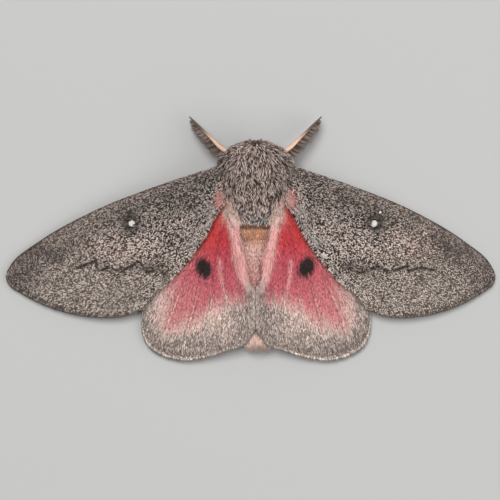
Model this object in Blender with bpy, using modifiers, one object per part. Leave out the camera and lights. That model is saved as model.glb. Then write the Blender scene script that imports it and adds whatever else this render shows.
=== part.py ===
"""A life-size silk moth at rest on a flat surface, wings spread and hindwings uncovered.

Metres, +Z up, head towards -Y, the animal's left side at +X. The six feet stand on Z = 0.
Every size below is a real one, in metres: the numbers are millimetres times MM.
"""

import math

import bmesh
import bpy
import numpy as np

MM = 0.001
GAP = 0.34 * MM  # left between two pieces that touch
ROOT_SUNK = 0.5 * MM  # how far a wing, a leg or an antenna starts inside, before GAP is cut round it
SIDES = {"left": 1.0, "right": -1.0}
PARTS = "moth"  # collection of the finished parts
CUTTERS = "cutters"  # collection of what is cut out of them
WELD = 0.001 * MM

# Where the body's midline lies, so that the whole model is centred on the origin
MIDLINE_X = -0.55 * MM
MIDLINE_Y = 0.03 * MM

# Thorax without its coat: stations along Y, each with half width, top and bottom
THORAX_Y = np.array([-11.25, -10.8, -9.9, -8.9, -7.9, -6.5, -5.0, -3.5, -2.3]) * MM
THORAX_HALF_WIDTH = np.array([1.0, 2.3, 3.3, 3.75, 3.8, 3.65, 3.3, 2.8, 2.2]) * MM
THORAX_TOP = np.array([7.0, 7.55, 8.05, 8.3, 8.4, 8.3, 7.8, 6.95, 5.95]) * MM
THORAX_BOTTOM = np.array([5.7, 5.1, 4.5, 3.1, 2.0, 1.6, 1.7, 1.9, 2.1]) * MM
THORAX_RINGS = 15
THORAX_SIDES = 24
THORAX_SLOPE_STEP = 0.01  # share and radians over which its slope is measured
END_RINGS = 5  # power by which the end rings of a bigger thorax move out more than the others

# Coat: flat locks, each rooted LOCK_SUNK inside and rising to its height at the tip
LOCK_SUNK = 0.4 * MM
LOCK_THICKNESS = 0.5 * MM
LOCK_SHAPE = [(0.0, 0.0, 0.8), (0.35, 0.55, 1.0), (0.72, 0.95, 0.7)]  # share of length, of height, of width
LOCK_SEED = 7
LAST_SHARE = 0.98  # locks run straight back from here on
COAT_CLEAR = 0.42 * MM  # left between a lock and the wing below it
WING_ROOT_X = (2.9 * MM, 2.2 * MM)  # where the wings start, in front and behind
CLEAR_EARLY = 0.35 * MM  # a lock is lifted this far before it reaches a wing
# Rows from the crown backwards: share of the thorax's length, locks, widest turn, length, width, height
BACK_ROWS = [
    (0.17, 7, 66, 1.9, 1.05, 0.5),
    (0.26, 8, 64, 2.1, 1.05, 0.5),
    (0.35, 8, 62, 2.3, 1.05, 0.5),
    (0.45, 8, 60, 2.3, 1.05, 0.5),
    (0.55, 8, 60, 2.3, 1.05, 0.5),
    (0.65, 8, 60, 2.1, 1.05, 0.5),
    (0.75, 7, 60, 2.0, 1.05, 0.5),
    (0.86, 6, 60, 1.9, 1.0, 0.45),
]
CROWN_ROW = (0.13, 7, 76, 1.3, 1.0, 0.5)
CHEST_ROWS = [(0.3, 112, 1.3, 1.0, 0.4), (0.4, 106, 1.4, 1.0, 0.4), (0.5, 106, 1.3, 1.0, 0.4)]
CHEST_FAN = 0.4  # the same as FAN, for the rows down the chest
FAN = 0.32  # how far a lock turns outwards, as a share of its place round the body
LOCK_VARIES = np.array([0.02, 0.07, 0.14, 0.16])  # place, turn and heading by so much, length by this share
# Down the front of the thorax: turn round from the front and turn up in degrees, length
FRONT_CENTRE = np.array([0.0, -9.3, 6.3]) * MM
FRONT_LOCKS = [
    (-60, 24, 1.4), (-36, 30, 1.6), (-12, 33, 1.6), (12, 33, 1.6), (36, 30, 1.6), (60, 24, 1.4),
    (-50, 2, 1.3), (-25, 6, 1.2), (0, 8, 1.2), (25, 6, 1.2), (50, 2, 1.3),
]
FRONT_LOCK = (1.0 * MM, 0.5 * MM)  # width, height
FRONT_BEND = 2.0 * MM  # radius of the bow that they hang in
FRONT_REACH = 4.0 * MM  # the thorax's front lies within this of FRONT_CENTRE
FRONT_STEPS = 400
# On the head: turn round from the front, turn up, and heading from straight down, in degrees
HEAD_LOCKS = [
    (-30, 62, 10), (0, 66, 0), (30, 62, -10),
    (-40, 22, 8), (-14, 26, 4), (14, 26, -4), (40, 22, -8),
    (-26, -10, 8), (0, -12, 0), (26, -10, -8),
]
HEAD_LOCK = (1.05 * MM, 0.8 * MM, 0.35 * MM)  # length, width, height
# Round the end of the abdomen: turn from the top, length
TUFT_LOCKS = [
    (0, 2.3), (38, 2.2), (76, 2.0), (114, 1.8), (152, 1.7),
    (190, 1.7), (228, 1.7), (266, 1.9), (304, 2.1), (341, 2.2),
]
TUFT_SHAPE = [(0.0, 0.0), (0.35, 0.6), (0.72, 0.75), (1.0, 0.6)]  # share of length, of spread
TUFT_WIDTH = 0.95 * MM
TUFT_ROOT_Y = 11.2 * MM
TUFT_SPREAD = 0.45 * MM
# Labial palps: path from inside the head, radii
PALP_PATH = np.array([(0.5, -10.6, 2.2), (0.6, -11.45, 1.9), (0.62, -12.0, 2.0)]) * MM
PALP_RADII = np.array([0.3, 0.32, 0.2]) * MM

# Abdomen: stations along Y, each with half width, top and bottom
ABDOMEN_Y = np.array([-1.95, -0.6, 1.2, 3.6, 6.0, 8.4, 10.4, 11.8]) * MM
ABDOMEN_HALF_WIDTH = np.array([2.1, 2.45, 2.6, 2.55, 2.35, 2.0, 1.5, 0.95]) * MM
ABDOMEN_TOP = np.array([4.35, 4.55, 4.45, 4.15, 3.8, 3.45, 3.05, 2.65]) * MM
ABDOMEN_BOTTOM = np.array([1.5, 0.95, 0.6, 0.45, 0.45, 0.55, 0.75, 1.15]) * MM
ABDOMEN_SIDES = 20
ABDOMEN_SEGMENTS = 7
SEGMENT_RINGS = 4
GROOVE_SHARE = 0.1  # share of a segment
SEGMENT_GROOVE = 0.12 * MM

# Head, an egg shape tucked under the front of the thorax, and its eyes
HEAD_CENTRE = np.array([0.0, -10.0, 3.0]) * MM
HEAD_HALF = np.array([1.95, 1.5, 1.7]) * MM
EYE_RADIUS = 0.95 * MM
EYE_CENTRE = np.array([1.45, -10.35, 2.75]) * MM
HEAD_GRID = (20, 12)  # columns, rows
EYE_GRID = (18, 12)

# Wings: the sheet that every wing follows falls away from a ridge over the body
WING_THICKNESS = 0.5 * MM
VEIN_THICKNESS = 0.74 * MM
SHEET_RIDGE = 5.6 * MM
SHEET_FALL_BACK = 0.14
SHEET_RIDGE_Y = -2.0 * MM
SHEET_FLOOR = 0.35 * MM
SHEET_SPREAD = 5.5 * MM
FOREWING_LIFT = 1.35 * MM
FOREWING_TIP_LIFT = 0.5 * MM
FOREWING_LIFT_FROM = 14.0 * MM
FOREWING_LIFT_OVER = 15.0 * MM
FRONT_EDGE_DROOP = 0.7 * MM
DROOP_SHARE = 0.3  # share of the wing from its front edge that droops
DROOP_EASES = 0.4  # share of the droop that is gone at the tip
ROOT_TRIES = 4  # times that a wing's root is moved on to the thorax's side at its own height
STEEPEST_SIDE = 0.05  # least that is left under the root where the side is measured near the top
WING_REACH = {
    ("forewing", "left"): 1.02,
    ("forewing", "right"): 0.98,
    ("hindwing", "left"): 0.995,
    ("hindwing", "right"): 1.005,
}

# Outlines of the left wings from above, X outwards from the midline, from root to margin
FOREWING_ROOT_Y = (-8.95 * MM, -5.5 * MM)
FOREWING_FRONT = np.array([(10.95, -6.55), (18.6, -3.55), (25.3, 0.25), (28.0, 2.4), (29.05, 4.1)]) * MM
FOREWING_REAR = np.array([(4.3, -3.5), (5.6, -1.05), (8.95, 3.55), (12.4, 7.1), (13.3, 8.3)]) * MM
FOREWING_OUTER = np.array(
    [(28.7, 5.3), (27.2, 6.4), (25.2, 7.5), (22.4, 8.55), (18.7, 9.2), (15.6, 9.1)]
) * MM
HINDWING_ROOT_Y = (-5.3 * MM, -2.75 * MM)
HINDWING_FRONT = np.array([(7.0, -3.2), (10.3, 0.9), (12.4, 4.6), (13.3, 7.6)]) * MM
HINDWING_REAR = np.array(
    [(1.85, -1.0), (1.6, 0.6), (1.05, 2.95), (0.52, 4.9), (0.22, 6.9), (0.22, 10.9)]
) * MM
HINDWING_OUTER = np.array(
    [
        (13.6, 9.6), (13.4, 11.4), (12.75, 12.75), (11.2, 13.8),
        (8.6, 14.42), (6.0, 14.05), (3.4, 13.2), (1.2, 12.25),
    ]
) * MM

# Veins as shares of the way from the front edge to the rear one, with where each begins
FOREWING_VEINS = [
    (0.05, 0.0), (0.17, 0.0), (0.31, 0.42), (0.44, 0.45),
    (0.57, 0.42), (0.69, 0.0), (0.81, 0.28), (0.93, 0.0),
]
HINDWING_VEINS = [(0.08, 0.0), (0.22, 0.0), (0.36, 0.42), (0.5, 0.45), (0.63, 0.0), (0.76, 0.3), (0.9, 0.0)]
VEIN_SHOULDER = 0.022  # half a vein's width, as a share
WING_COLUMNS = {"forewing": 13, "hindwing": 11}

# Antennae: path of the left shaft after its root on the head
ANTENNA_ROOT = np.array([0.85, -0.15, 0.75]) * MM  # from the head's centre
ANTENNA_PATH = np.array(
    [
        (2.75, -10.2, 4.1), (3.75, -10.6, 3.9), (5.2, -11.95, 3.4),
        (6.3, -13.05, 2.8), (7.15, -13.9, 2.35), (7.8, -14.55, 2.05),
    ]
) * MM
# Branches of the antennae in two rows, which lie behind the shaft and fan up and down
RAMI_SPAN = (0.27, 0.87)
RAMI_COUNT = 10
RAMI_PLACES = [0.2, 0.34, 0.6, 0.9]
RAMI_LENGTHS = np.array([1.0, 1.4, 1.25, 0.45]) * MM
RAMI_TILTS = np.radians([22, -38])
RAMI_LEAN = 0.25  # how far they point along the shaft
RAMI_RADII = (0.25 * MM, 0.09 * MM)
RAMI_AHEAD = 0.02  # share of the shaft over which its direction is measured
ANTENNA_RADII = np.array([0.3, 0.3, 0.3, 0.29, 0.28, 0.26, 0.13]) * MM
ANTENNA_STEPS = 21

# Left legs: from inside the thorax to the knee, the ankle and along the foot, which is cut flat at the floor
LEG_PATHS = {
    "fore": [(1.2, -7.6, 2.9), (3.35, -8.3, 2.0), (2.75, -9.7, 0.8), (2.45, -10.3, 0.25), (2.2, -11.2, 0.2)],
    "mid": [(1.5, -6.4, 3.0), (5.2, -6.0, 2.75), (6.4, -6.6, 1.0), (6.9, -6.8, 0.25), (7.9, -7.1, 0.2)],
    "hind": [(1.2, -4.6, 3.0), (4.4, -2.6, 2.3), (4.85, 0.4, 0.95), (5.0, 1.3, 0.25), (5.1, 2.4, 0.2)],
}
LEG_RADII = np.array([0.6, 0.5, 0.42, 0.5, 0.4, 0.3, 0.28, 0.26]) * MM
LEG_STEPS = 13
FLOOR_BLOCK = 60 * MM  # side of the cube that is cut away below the floor

COLOURS = {
    "thorax_fur": (0.21, 0.18, 0.16),
    "head_fur": (0.23, 0.17, 0.14),
    "eye": (0.03, 0.02, 0.02),
    "antenna": (0.25, 0.18, 0.14),
    "abdomen_fur": (0.55, 0.33, 0.27),
    "forewing": (0.24, 0.21, 0.19),
    "hindwing": (0.62, 0.18, 0.2),
    "leg": (0.34, 0.24, 0.21),
}
MATT = 0.8
GLOSSY = 0.15


def clear_scene():
    """Removes whatever the file opened with."""
    for obj in list(bpy.data.objects):
        bpy.data.objects.remove(obj, do_unlink=True)


def collection(name):
    """The collection of that name, made where there is none."""
    found = bpy.data.collections.get(name)
    if found:
        return found
    made = bpy.data.collections.new(name)
    bpy.context.scene.collection.children.link(made)
    return made


def add_part(name, mesh, slot):
    """A new object among the parts, smooth and in one material."""
    mesh.materials.clear()
    mesh.materials.append(material(slot))
    mesh.shade_smooth()
    obj = bpy.data.objects.new(name, mesh)
    collection(PARTS).objects.link(obj)
    return obj


def material(name):
    """A Principled BSDF in one of COLOURS, matt apart from the eye."""
    found = bpy.data.materials.get(name)
    if found:
        return found
    made = bpy.data.materials.new(name)
    made.use_nodes = True
    shader = made.node_tree.nodes["Principled BSDF"]
    shader.inputs["Base Color"].default_value = (*COLOURS[name], 1.0)
    shader.inputs["Roughness"].default_value = GLOSSY if name == "eye" else MATT
    shader.inputs["Metallic"].default_value = 0.0
    return made


def smooth(x, knots, values):
    """Values along a smooth line through the knots: a cubic between each two, with the mean slope at each."""
    x = np.clip(np.asarray(x, float), knots[0], knots[-1])
    slopes = np.gradient(values, knots, axis=0)
    i = np.clip(np.searchsorted(knots, x, side="right") - 1, 0, len(knots) - 2)
    width = knots[i + 1] - knots[i]
    t = (x - knots[i]) / width
    if values.ndim > 1:
        t, width = t[..., None], width[..., None]
    before = values[i] * (1 + 2 * t) + slopes[i] * t * width
    after = values[i + 1] * (3 - 2 * t) + slopes[i + 1] * (t - 1) * width
    return before * (1 - t) ** 2 + after * t**2


def along(points, t):
    """Points at shares t of the length of a smooth line through the given points."""
    steps = np.linalg.norm(np.diff(points, axis=0), axis=1)
    knots = np.concatenate([[0.0], np.cumsum(steps)]) / steps.sum()
    return smooth(t, knots, points)


def thorax_at(share, turn, height=0.0):
    """A place on the thorax core and height above it, its normal and its slopes backwards and round the body.

    share is how far back the place lies, and turn how far round from the top to the left, in radians.
    """

    def surface(share, turn):
        y = smooth(share, np.linspace(0, 1, len(THORAX_Y)), THORAX_Y)
        width, middle, half = thorax_section(y)
        return np.stack([width * np.sin(turn), y, middle + half * np.cos(turn)], axis=-1)

    step = THORAX_SLOPE_STEP
    share = np.clip(share, step, LAST_SHARE)
    back = (surface(share + step, turn) - surface(share - step, turn)) / (2 * step)
    round_ = (surface(share, turn + step) - surface(share, turn - step)) / (2 * step)
    normal = np.cross(back, round_)
    normal /= np.linalg.norm(normal)
    if normal @ (surface(share, turn) - surface(share, turn + math.pi)) < 0:
        normal = -normal
    return surface(share, turn) + height * normal, normal, back, round_


def wing_over(x, y):
    """Top of whichever wing lies over x and y near the thorax, or below everything where there is none."""
    x = abs(x) + CLEAR_EARLY
    front = np.interp(x, [WING_ROOT_X[0], *FOREWING_FRONT[:, 0]], [FOREWING_ROOT_Y[0], *FOREWING_FRONT[:, 1]])
    rear = np.interp(y, [FOREWING_ROOT_Y[1], *FOREWING_REAR[:, 1]], [WING_ROOT_X[0], *FOREWING_REAR[:, 0]])
    inner = np.interp(y, [*HINDWING_ROOT_Y, HINDWING_REAR[0, 1]], [*WING_ROOT_X, HINDWING_REAR[0, 0]])
    if x < inner or y < front - CLEAR_EARLY:
        return -1.0
    wing = "forewing" if y < FOREWING_ROOT_Y[1] or x > rear else "hindwing"
    return wing_height(wing, x - CLEAR_EARLY, y, 0.5) + VEIN_THICKNESS / 2


def thorax_section(y):
    """Half width, middle height and half height of the thorax core at y."""
    width = smooth(y, THORAX_Y, THORAX_HALF_WIDTH)
    top = smooth(y, THORAX_Y, THORAX_TOP)
    bottom = smooth(y, THORAX_Y, THORAX_BOTTOM)
    return width, (top + bottom) / 2, (top - bottom) / 2


def thorax_side(y, z):
    """How far the thorax core reaches from the midline at y and z."""
    width, middle, half = thorax_section(y)
    return width * np.sqrt(np.clip(1 - ((z - middle) / half) ** 2, STEEPEST_SIDE, 1))


def sheet_height(x, y):
    """Middle of a hindwing: a bell over the body, falling away sideways and backwards."""
    ridge = SHEET_RIDGE - SHEET_FALL_BACK * (y - SHEET_RIDGE_Y)
    return SHEET_FLOOR + (ridge - SHEET_FLOOR) / (1 + (x / SHEET_SPREAD) ** 2)


def wing_height(wing, x, y, v):
    """Middle of a wing. The forewing lies over the hindwing, and its front edge droops."""
    z = sheet_height(x, y)
    if wing == "forewing":
        t = np.clip((x - FOREWING_LIFT_FROM) / FOREWING_LIFT_OVER, 0, 1)
        z = z + FOREWING_LIFT + (FOREWING_TIP_LIFT - FOREWING_LIFT) * t * t * (3 - 2 * t)
        z = z - FRONT_EDGE_DROOP * np.clip(1 - v / DROOP_SHARE, 0, 1) ** 2 * (1 - DROOP_EASES * t)
    return z


def wing_root(wing, v):
    """Root line of a wing, ROOT_SUNK inside the thorax until it is cut."""
    front, rear = FOREWING_ROOT_Y if wing == "forewing" else HINDWING_ROOT_Y
    y = front + (rear - front) * v
    x = smooth(y, THORAX_Y, THORAX_HALF_WIDTH)
    for _ in range(ROOT_TRIES):
        x = thorax_side(y, wing_height(wing, x, y, v)) - ROOT_SUNK
    return np.stack([x, y], axis=-1)


def mesh_object(name, verts, faces, slot):
    """A mesh object in the scene, with its faces pointing out where it is closed."""
    mesh = bpy.data.meshes.new(name)
    mesh.from_pydata([tuple(map(float, p)) for p in verts], [], faces)
    work = bmesh.new()
    work.from_mesh(mesh)
    bmesh.ops.triangulate(work, faces=work.faces[:])
    bmesh.ops.recalc_face_normals(work, faces=work.faces[:])
    work.to_mesh(mesh)
    work.free()
    return add_part(name, mesh, slot)


def loft(name, rings, slot, tip=None):
    """A closed body through rings of points, ended flat, or in the point tip."""
    rings = np.asarray(rings)
    count, sides = rings.shape[:2]
    verts = [p for ring in rings for p in ring]
    faces = [
        (r * sides + i, r * sides + (i + 1) % sides, (r + 1) * sides + (i + 1) % sides, (r + 1) * sides + i)
        for r in range(count - 1)
        for i in range(sides)
    ]
    faces.append(tuple(range(sides)))
    last = (count - 1) * sides
    if tip is None:
        faces.append(tuple(range(last, last + sides)))
    else:
        verts.append(tip)
        faces += [(last + i, last + (i + 1) % sides, len(verts) - 1) for i in range(sides)]
    return mesh_object(name, verts, faces, slot)


def body_rings(ys, widths, tops, bottoms, sides):
    """Oval rings across Y, one for each station."""
    turn = np.arange(sides) * 2 * math.pi / sides
    middle, half = (tops + bottoms) / 2, (tops - bottoms) / 2
    x = widths[:, None] * np.sin(turn)
    z = middle[:, None] + half[:, None] * np.cos(turn)
    return np.stack([x, np.broadcast_to(ys[:, None], x.shape), z], axis=-1)


def thorax_form(name, more=0.0):
    """The thorax without its coat, bigger all round by more."""
    ys = smooth(np.linspace(0, 1, THORAX_RINGS), np.linspace(0, 1, len(THORAX_Y)), THORAX_Y)
    width, middle, half = thorax_section(ys)
    ys = ys + more * np.linspace(-1, 1, len(ys)) ** END_RINGS
    rings = body_rings(ys, width + more, middle + half + more, middle - half - more, THORAX_SIDES)
    return loft(name, rings, "thorax_fur")


def lock(path, normals, width, slot):
    """A flat lock of hair along path: diamond sections that narrow to a point, lifted clear of the wings."""
    rings = []
    for i, (_, _, wide) in enumerate(LOCK_SHAPE):
        ahead = path[i + 1] - path[max(i - 1, 0)]
        across = np.cross(ahead, normals[i])
        across *= width / 2 * wide / np.linalg.norm(across)
        up = np.cross(across, ahead)
        up *= LOCK_THICKNESS / 2 * wide / np.linalg.norm(up)
        rings.append(np.array([path[i] + across, path[i] + up, path[i] - across, path[i] - up]))
    rings.append(path[-1:])
    if normals[-1][2] > 0:
        for ring in rings[1:]:
            lift = max(wing_over(x, y) + COAT_CLEAR - z for x, y, z in ring)
            ring[:, 2] += max(lift, 0.0)
    return loft("lock", rings[:-1], slot, tip=rings[-1][0])


def thorax_lock(share, turn, heading, length, width, height):
    """A lock on the thorax that sets off at heading radians from straight back."""
    path, normals = [], []
    _, _, back, round_ = thorax_at(share, turn)
    for reach, rise, _ in LOCK_SHAPE + [(1.0, 1.0, 0.0)]:
        here = share + reach * length * math.cos(heading) / np.linalg.norm(back)
        there = turn + reach * length * math.sin(heading) / np.linalg.norm(round_)
        point, normal, _, _ = thorax_at(here, there, rise * (height + LOCK_SUNK) - LOCK_SUNK)
        point[1] += max(here - LAST_SHARE, 0.0) * np.linalg.norm(back)
        path.append(point)
        normals.append(normal)
    return lock(np.array(path), normals, width, "thorax_fur")


def join(obj, pieces):
    """One Boolean union of the object with closed pieces that cross it."""
    group = collection("pieces")
    for piece in pieces:
        group.objects.link(piece)
        collection(PARTS).objects.unlink(piece)
    change = obj.modifiers.new("join", "BOOLEAN")
    change.operation = "UNION"
    change.operand_type = "COLLECTION"
    change.collection = group
    change.solver = "MANIFOLD"
    apply_modifiers(obj)
    for piece in pieces:
        bpy.data.objects.remove(piece, do_unlink=True)
    bpy.data.collections.remove(group)
    keep_largest(obj.data)


def front_lock(round_, up, length, width, height):
    """A lock that hangs down the front of the thorax."""
    path, normals = [], []
    for reach, rise, _ in LOCK_SHAPE + [(1.0, 1.0, 0.0)]:
        tilt = up - reach * length / FRONT_BEND
        flat = math.cos(tilt)
        aim = np.array([math.sin(round_) * flat, -math.cos(round_) * flat, math.sin(tilt)])
        ray = FRONT_CENTRE + np.linspace(0, FRONT_REACH, FRONT_STEPS)[:, None] * aim
        wide, middle, half = thorax_section(ray[:, 1])
        inside = (ray[:, 0] / wide) ** 2 + ((ray[:, 2] - middle) / half) ** 2 < 1
        skin = ray[np.flatnonzero(inside & (ray[:, 1] > THORAX_Y[0]))[-1]]
        path.append(skin + (rise * (height + LOCK_SUNK) - LOCK_SUNK) * aim)
        normals.append(aim)
    return lock(np.array(path), normals, width, "thorax_fur")


def make_thorax_coat(thorax):
    """Rows of locks that lie back over one another from the crown, and others forwards over the head."""
    draw = np.random.default_rng(LOCK_SEED)
    pieces = []
    rows = [(row, 0.0) for row in BACK_ROWS] + [(CROWN_ROW, math.pi)]
    for (share, count, widest, length, width, height), heading in rows:
        for turn in np.radians(np.linspace(-widest, widest, count)):
            fan = FAN * turn * math.cos(heading)
            share_by, turn_by, heading_by, length_by = LOCK_VARIES * draw.uniform(-1, 1, 4)
            pieces.append(
                thorax_lock(
                    share + share_by,
                    turn + turn_by,
                    heading + fan + heading_by,
                    length * MM * (1 + length_by),
                    width * MM,
                    height * MM,
                )
            )
    for share, widest, length, width, height in CHEST_ROWS:
        for turn in np.radians([-widest, widest]):
            pieces.append(thorax_lock(share, turn, CHEST_FAN * turn, length * MM, width * MM, height * MM))
    for round_, up, length in FRONT_LOCKS:
        pieces.append(front_lock(math.radians(round_), math.radians(up), length * MM, *FRONT_LOCK))
    join(thorax, pieces)


def make_abdomen():
    """Seven segments with a groove between each two."""
    ys = np.linspace(ABDOMEN_Y[0], ABDOMEN_Y[-1], SEGMENT_RINGS * ABDOMEN_SEGMENTS + 1)
    phase = np.linspace(0, ABDOMEN_SEGMENTS, len(ys)) % 1.0
    groove = SEGMENT_GROOVE * (phase < GROOVE_SHARE)
    width = smooth(ys, ABDOMEN_Y, ABDOMEN_HALF_WIDTH) - groove
    top = smooth(ys, ABDOMEN_Y, ABDOMEN_TOP) - groove
    bottom = smooth(ys, ABDOMEN_Y, ABDOMEN_BOTTOM) + groove
    return loft("abdomen", body_rings(ys, width, top, bottom, ABDOMEN_SIDES), "abdomen_fur")


def make_tuft(abdomen):
    """The tuft round the end of the abdomen."""
    pieces = []
    for degrees, length in TUFT_LOCKS:
        turn = math.radians(degrees)
        out = np.array([math.sin(turn), 0.0, math.cos(turn)])
        width = smooth(TUFT_ROOT_Y, ABDOMEN_Y, ABDOMEN_HALF_WIDTH)
        top = smooth(TUFT_ROOT_Y, ABDOMEN_Y, ABDOMEN_TOP)
        bottom = smooth(TUFT_ROOT_Y, ABDOMEN_Y, ABDOMEN_BOTTOM)
        rim = np.array([0, TUFT_ROOT_Y, (top + bottom) / 2]) + out * (width, 0, (top - bottom) / 2)
        path = [
            rim + np.array([0, reach * length * MM, 0]) + out * (rise * (TUFT_SPREAD + LOCK_SUNK) - LOCK_SUNK)
            for reach, rise in TUFT_SHAPE
        ]
        pieces.append(lock(np.array(path), [out, out, out, -np.abs(out)], TUFT_WIDTH, "abdomen_fur"))
    join(abdomen, pieces)


def make_head_coat(head):
    """Locks that hang over the face from the top of the head, and the two short palps."""
    length, width, height = HEAD_LOCK
    pieces = []
    for round_, up, heading in HEAD_LOCKS:
        path, normals = [], []
        for reach, rise, _ in LOCK_SHAPE + [(1.0, 1.0, 0.0)]:
            down = reach * length / HEAD_HALF[2]
            a = math.radians(round_) + down * math.tan(math.radians(heading))
            b = math.radians(up) - down
            aim = np.array([math.sin(a) * math.cos(b), -math.cos(a) * math.cos(b), math.sin(b)])
            normal = aim / HEAD_HALF
            normal /= np.linalg.norm(normal)
            path.append(HEAD_CENTRE + aim * HEAD_HALF + normal * (rise * (height + LOCK_SUNK) - LOCK_SUNK))
            normals.append(normal)
        pieces.append(lock(np.array(path), normals, width, "head_fur"))
    for sign in SIDES.values():
        pieces.append(tube("palp", PALP_PATH * (sign, 1, 1), PALP_RADII, "head_fur", 1))
    join(head, pieces)


def ball(name, centre, half, slot, grid):
    """An egg shape from a UV sphere of grid columns and rows, with its poles fore and aft."""
    mesh = bpy.data.meshes.new(name)
    work = bmesh.new()
    bmesh.ops.create_uvsphere(work, u_segments=grid[0], v_segments=grid[1], radius=1.0)
    for vert in work.verts:
        x, y, z = vert.co
        vert.co = (centre[0] + half[0] * x, centre[1] + half[1] * z, centre[2] + half[2] * y)
    bmesh.ops.recalc_face_normals(work, faces=work.faces[:])
    work.to_mesh(mesh)
    work.free()
    return add_part(name, mesh, slot)


def block(name, centre, side, slot):
    """A cube."""
    mesh = bpy.data.meshes.new(name)
    work = bmesh.new()
    bmesh.ops.create_cube(work, size=side)
    bmesh.ops.translate(work, verts=work.verts, vec=centre)
    work.to_mesh(mesh)
    work.free()
    return add_part(name, mesh, slot)


def apply_modifiers(obj):
    """Makes the object's mesh what its modifiers give."""
    graph = bpy.context.evaluated_depsgraph_get()
    made = bpy.data.meshes.new_from_object(obj.evaluated_get(graph))
    obj.modifiers.clear()
    obj.data = made


def cut_away(obj, cutter):
    """Takes the cutter out of the object, keeps the largest piece and removes the cutter."""
    collection(PARTS).objects.unlink(cutter)
    collection(CUTTERS).objects.link(cutter)
    cutter.hide_render = True
    cutter.display_type = "WIRE"
    change = obj.modifiers.new("cut", "BOOLEAN")
    change.operation = "DIFFERENCE"
    change.object = cutter
    apply_modifiers(obj)
    bpy.data.objects.remove(cutter, do_unlink=True)
    keep_largest(obj.data)


def keep_largest(mesh):
    """Leaves only the piece of the mesh with the most faces."""
    work = bmesh.new()
    work.from_mesh(mesh)
    left = set(work.verts)
    pieces = []
    while left:
        piece, edge = set(), [left.pop()]
        while edge:
            vert = edge.pop()
            piece.add(vert)
            near = {e.other_vert(vert) for e in vert.link_edges} & left
            left -= near
            edge.extend(near)
        pieces.append(piece)
    largest = max(pieces, key=len)
    bmesh.ops.delete(work, geom=[vert for vert in work.verts if vert not in largest], context="VERTS")
    work.to_mesh(mesh)
    work.free()


def make_head(thorax):
    """The head in a socket in the thorax, and its two eyes in theirs."""
    cut_away(thorax, ball("socket", HEAD_CENTRE, HEAD_HALF + GAP, "head_fur", HEAD_GRID))
    head = ball("head", HEAD_CENTRE, HEAD_HALF, "head_fur", HEAD_GRID)
    make_head_coat(head)
    for side, sign in SIDES.items():
        place = EYE_CENTRE * (sign, 1, 1)
        ball(f"eye_{side}", place, np.full(3, EYE_RADIUS), "eye", EYE_GRID)
        cut_away(head, ball("socket", place, np.full(3, EYE_RADIUS + GAP), "eye", EYE_GRID))


def vein_rows(veins):
    """Rows across a wing, three to each vein, and which vein each middle row carries."""
    rows = {0.0: None, 1.0: None}
    for place, begins in veins:
        rows[place - VEIN_SHOULDER] = None
        rows[place + VEIN_SHOULDER] = None
        rows[place] = begins
    places = sorted(rows)
    return np.array(places), [rows[p] for p in places]


def make_wing(wing, side):
    """A wing as an open sheet between its four edges, thickened, and thicker along its veins."""
    sign = SIDES[side]
    fore = wing == "forewing"
    front, rear, outer, veins = (
        (FOREWING_FRONT, FOREWING_REAR, FOREWING_OUTER, FOREWING_VEINS)
        if fore
        else (HINDWING_FRONT, HINDWING_REAR, HINDWING_OUTER, HINDWING_VEINS)
    )
    v, begins = vein_rows(veins)
    u = np.linspace(0, 1, WING_COLUMNS[wing] + 1)
    root = wing_root(wing, v)
    front_edge = along(np.vstack([root[0], front]), u)
    rear_edge = along(np.vstack([root[-1], rear]), u)
    margin = along(np.vstack([front[-1], outer, rear[-1]]), v)
    uu, vv = u[:, None, None], v[None, :, None]
    sides = (1 - vv) * front_edge[:, None] + vv * rear_edge[:, None]
    ends = (1 - uu) * root[None] + uu * margin[None]
    corners = (1 - uu) * ((1 - vv) * root[0] + vv * root[-1]) + uu * ((1 - vv) * margin[0] + vv * margin[-1])
    flat = sides + ends - corners
    reach = 1 + (WING_REACH[wing, side] - 1) * np.clip(flat[..., 0] / front[-1][0], 0, 1)
    x, y = flat[..., 0] * reach, flat[..., 1]
    z = wing_height(wing, x, y, v[None, :])
    points = np.stack([sign * x, y, z], axis=-1).reshape(-1, 3)
    across = len(v)
    faces = []
    for i in range(len(u) - 1):
        for j in range(across - 1):
            a, b = i * across + j, (i + 1) * across + j
            faces += [(a, b, b + 1), (a, b + 1, a + 1)]
    obj = mesh_object(f"{wing}_{side}", points, faces, wing)
    weights = obj.vertex_groups.new(name="veins")
    for i, share in enumerate(u):
        for j, begin in enumerate(begins):
            if begin is not None and share >= begin:
                weights.add([i * across + j], 1.0, "REPLACE")
    shell = obj.modifiers.new("membrane", "SOLIDIFY")
    shell.thickness = VEIN_THICKNESS
    shell.offset = 0.0
    shell.vertex_group = "veins"
    shell.thickness_vertex_group = WING_THICKNESS / VEIN_THICKNESS
    cut_away(obj, thorax_form("clearance", GAP))


def tube(name, path, radii, slot, resolution=2):
    """A tapered tube along the points of path, as a closed mesh."""
    curve = bpy.data.curves.new(name, "CURVE")
    curve.dimensions = "3D"
    curve.bevel_depth = 1.0
    curve.bevel_resolution = resolution
    curve.use_fill_caps = True
    line = curve.splines.new("POLY")
    line.points.add(len(path) - 1)
    for point, place, radius in zip(line.points, path, radii):
        point.co = (*map(float, place), 1.0)
        point.radius = float(radius)
    drawn = bpy.data.objects.new("line", curve)
    collection(PARTS).objects.link(drawn)
    graph = bpy.context.evaluated_depsgraph_get()
    mesh = bpy.data.meshes.new_from_object(drawn.evaluated_get(graph))
    bpy.data.objects.remove(drawn, do_unlink=True)
    work = bmesh.new()
    work.from_mesh(mesh)
    bmesh.ops.remove_doubles(work, verts=work.verts, dist=WELD)
    bmesh.ops.recalc_face_normals(work, faces=work.faces[:])
    work.to_mesh(mesh)
    work.free()
    return add_part(name, mesh, slot)


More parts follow.
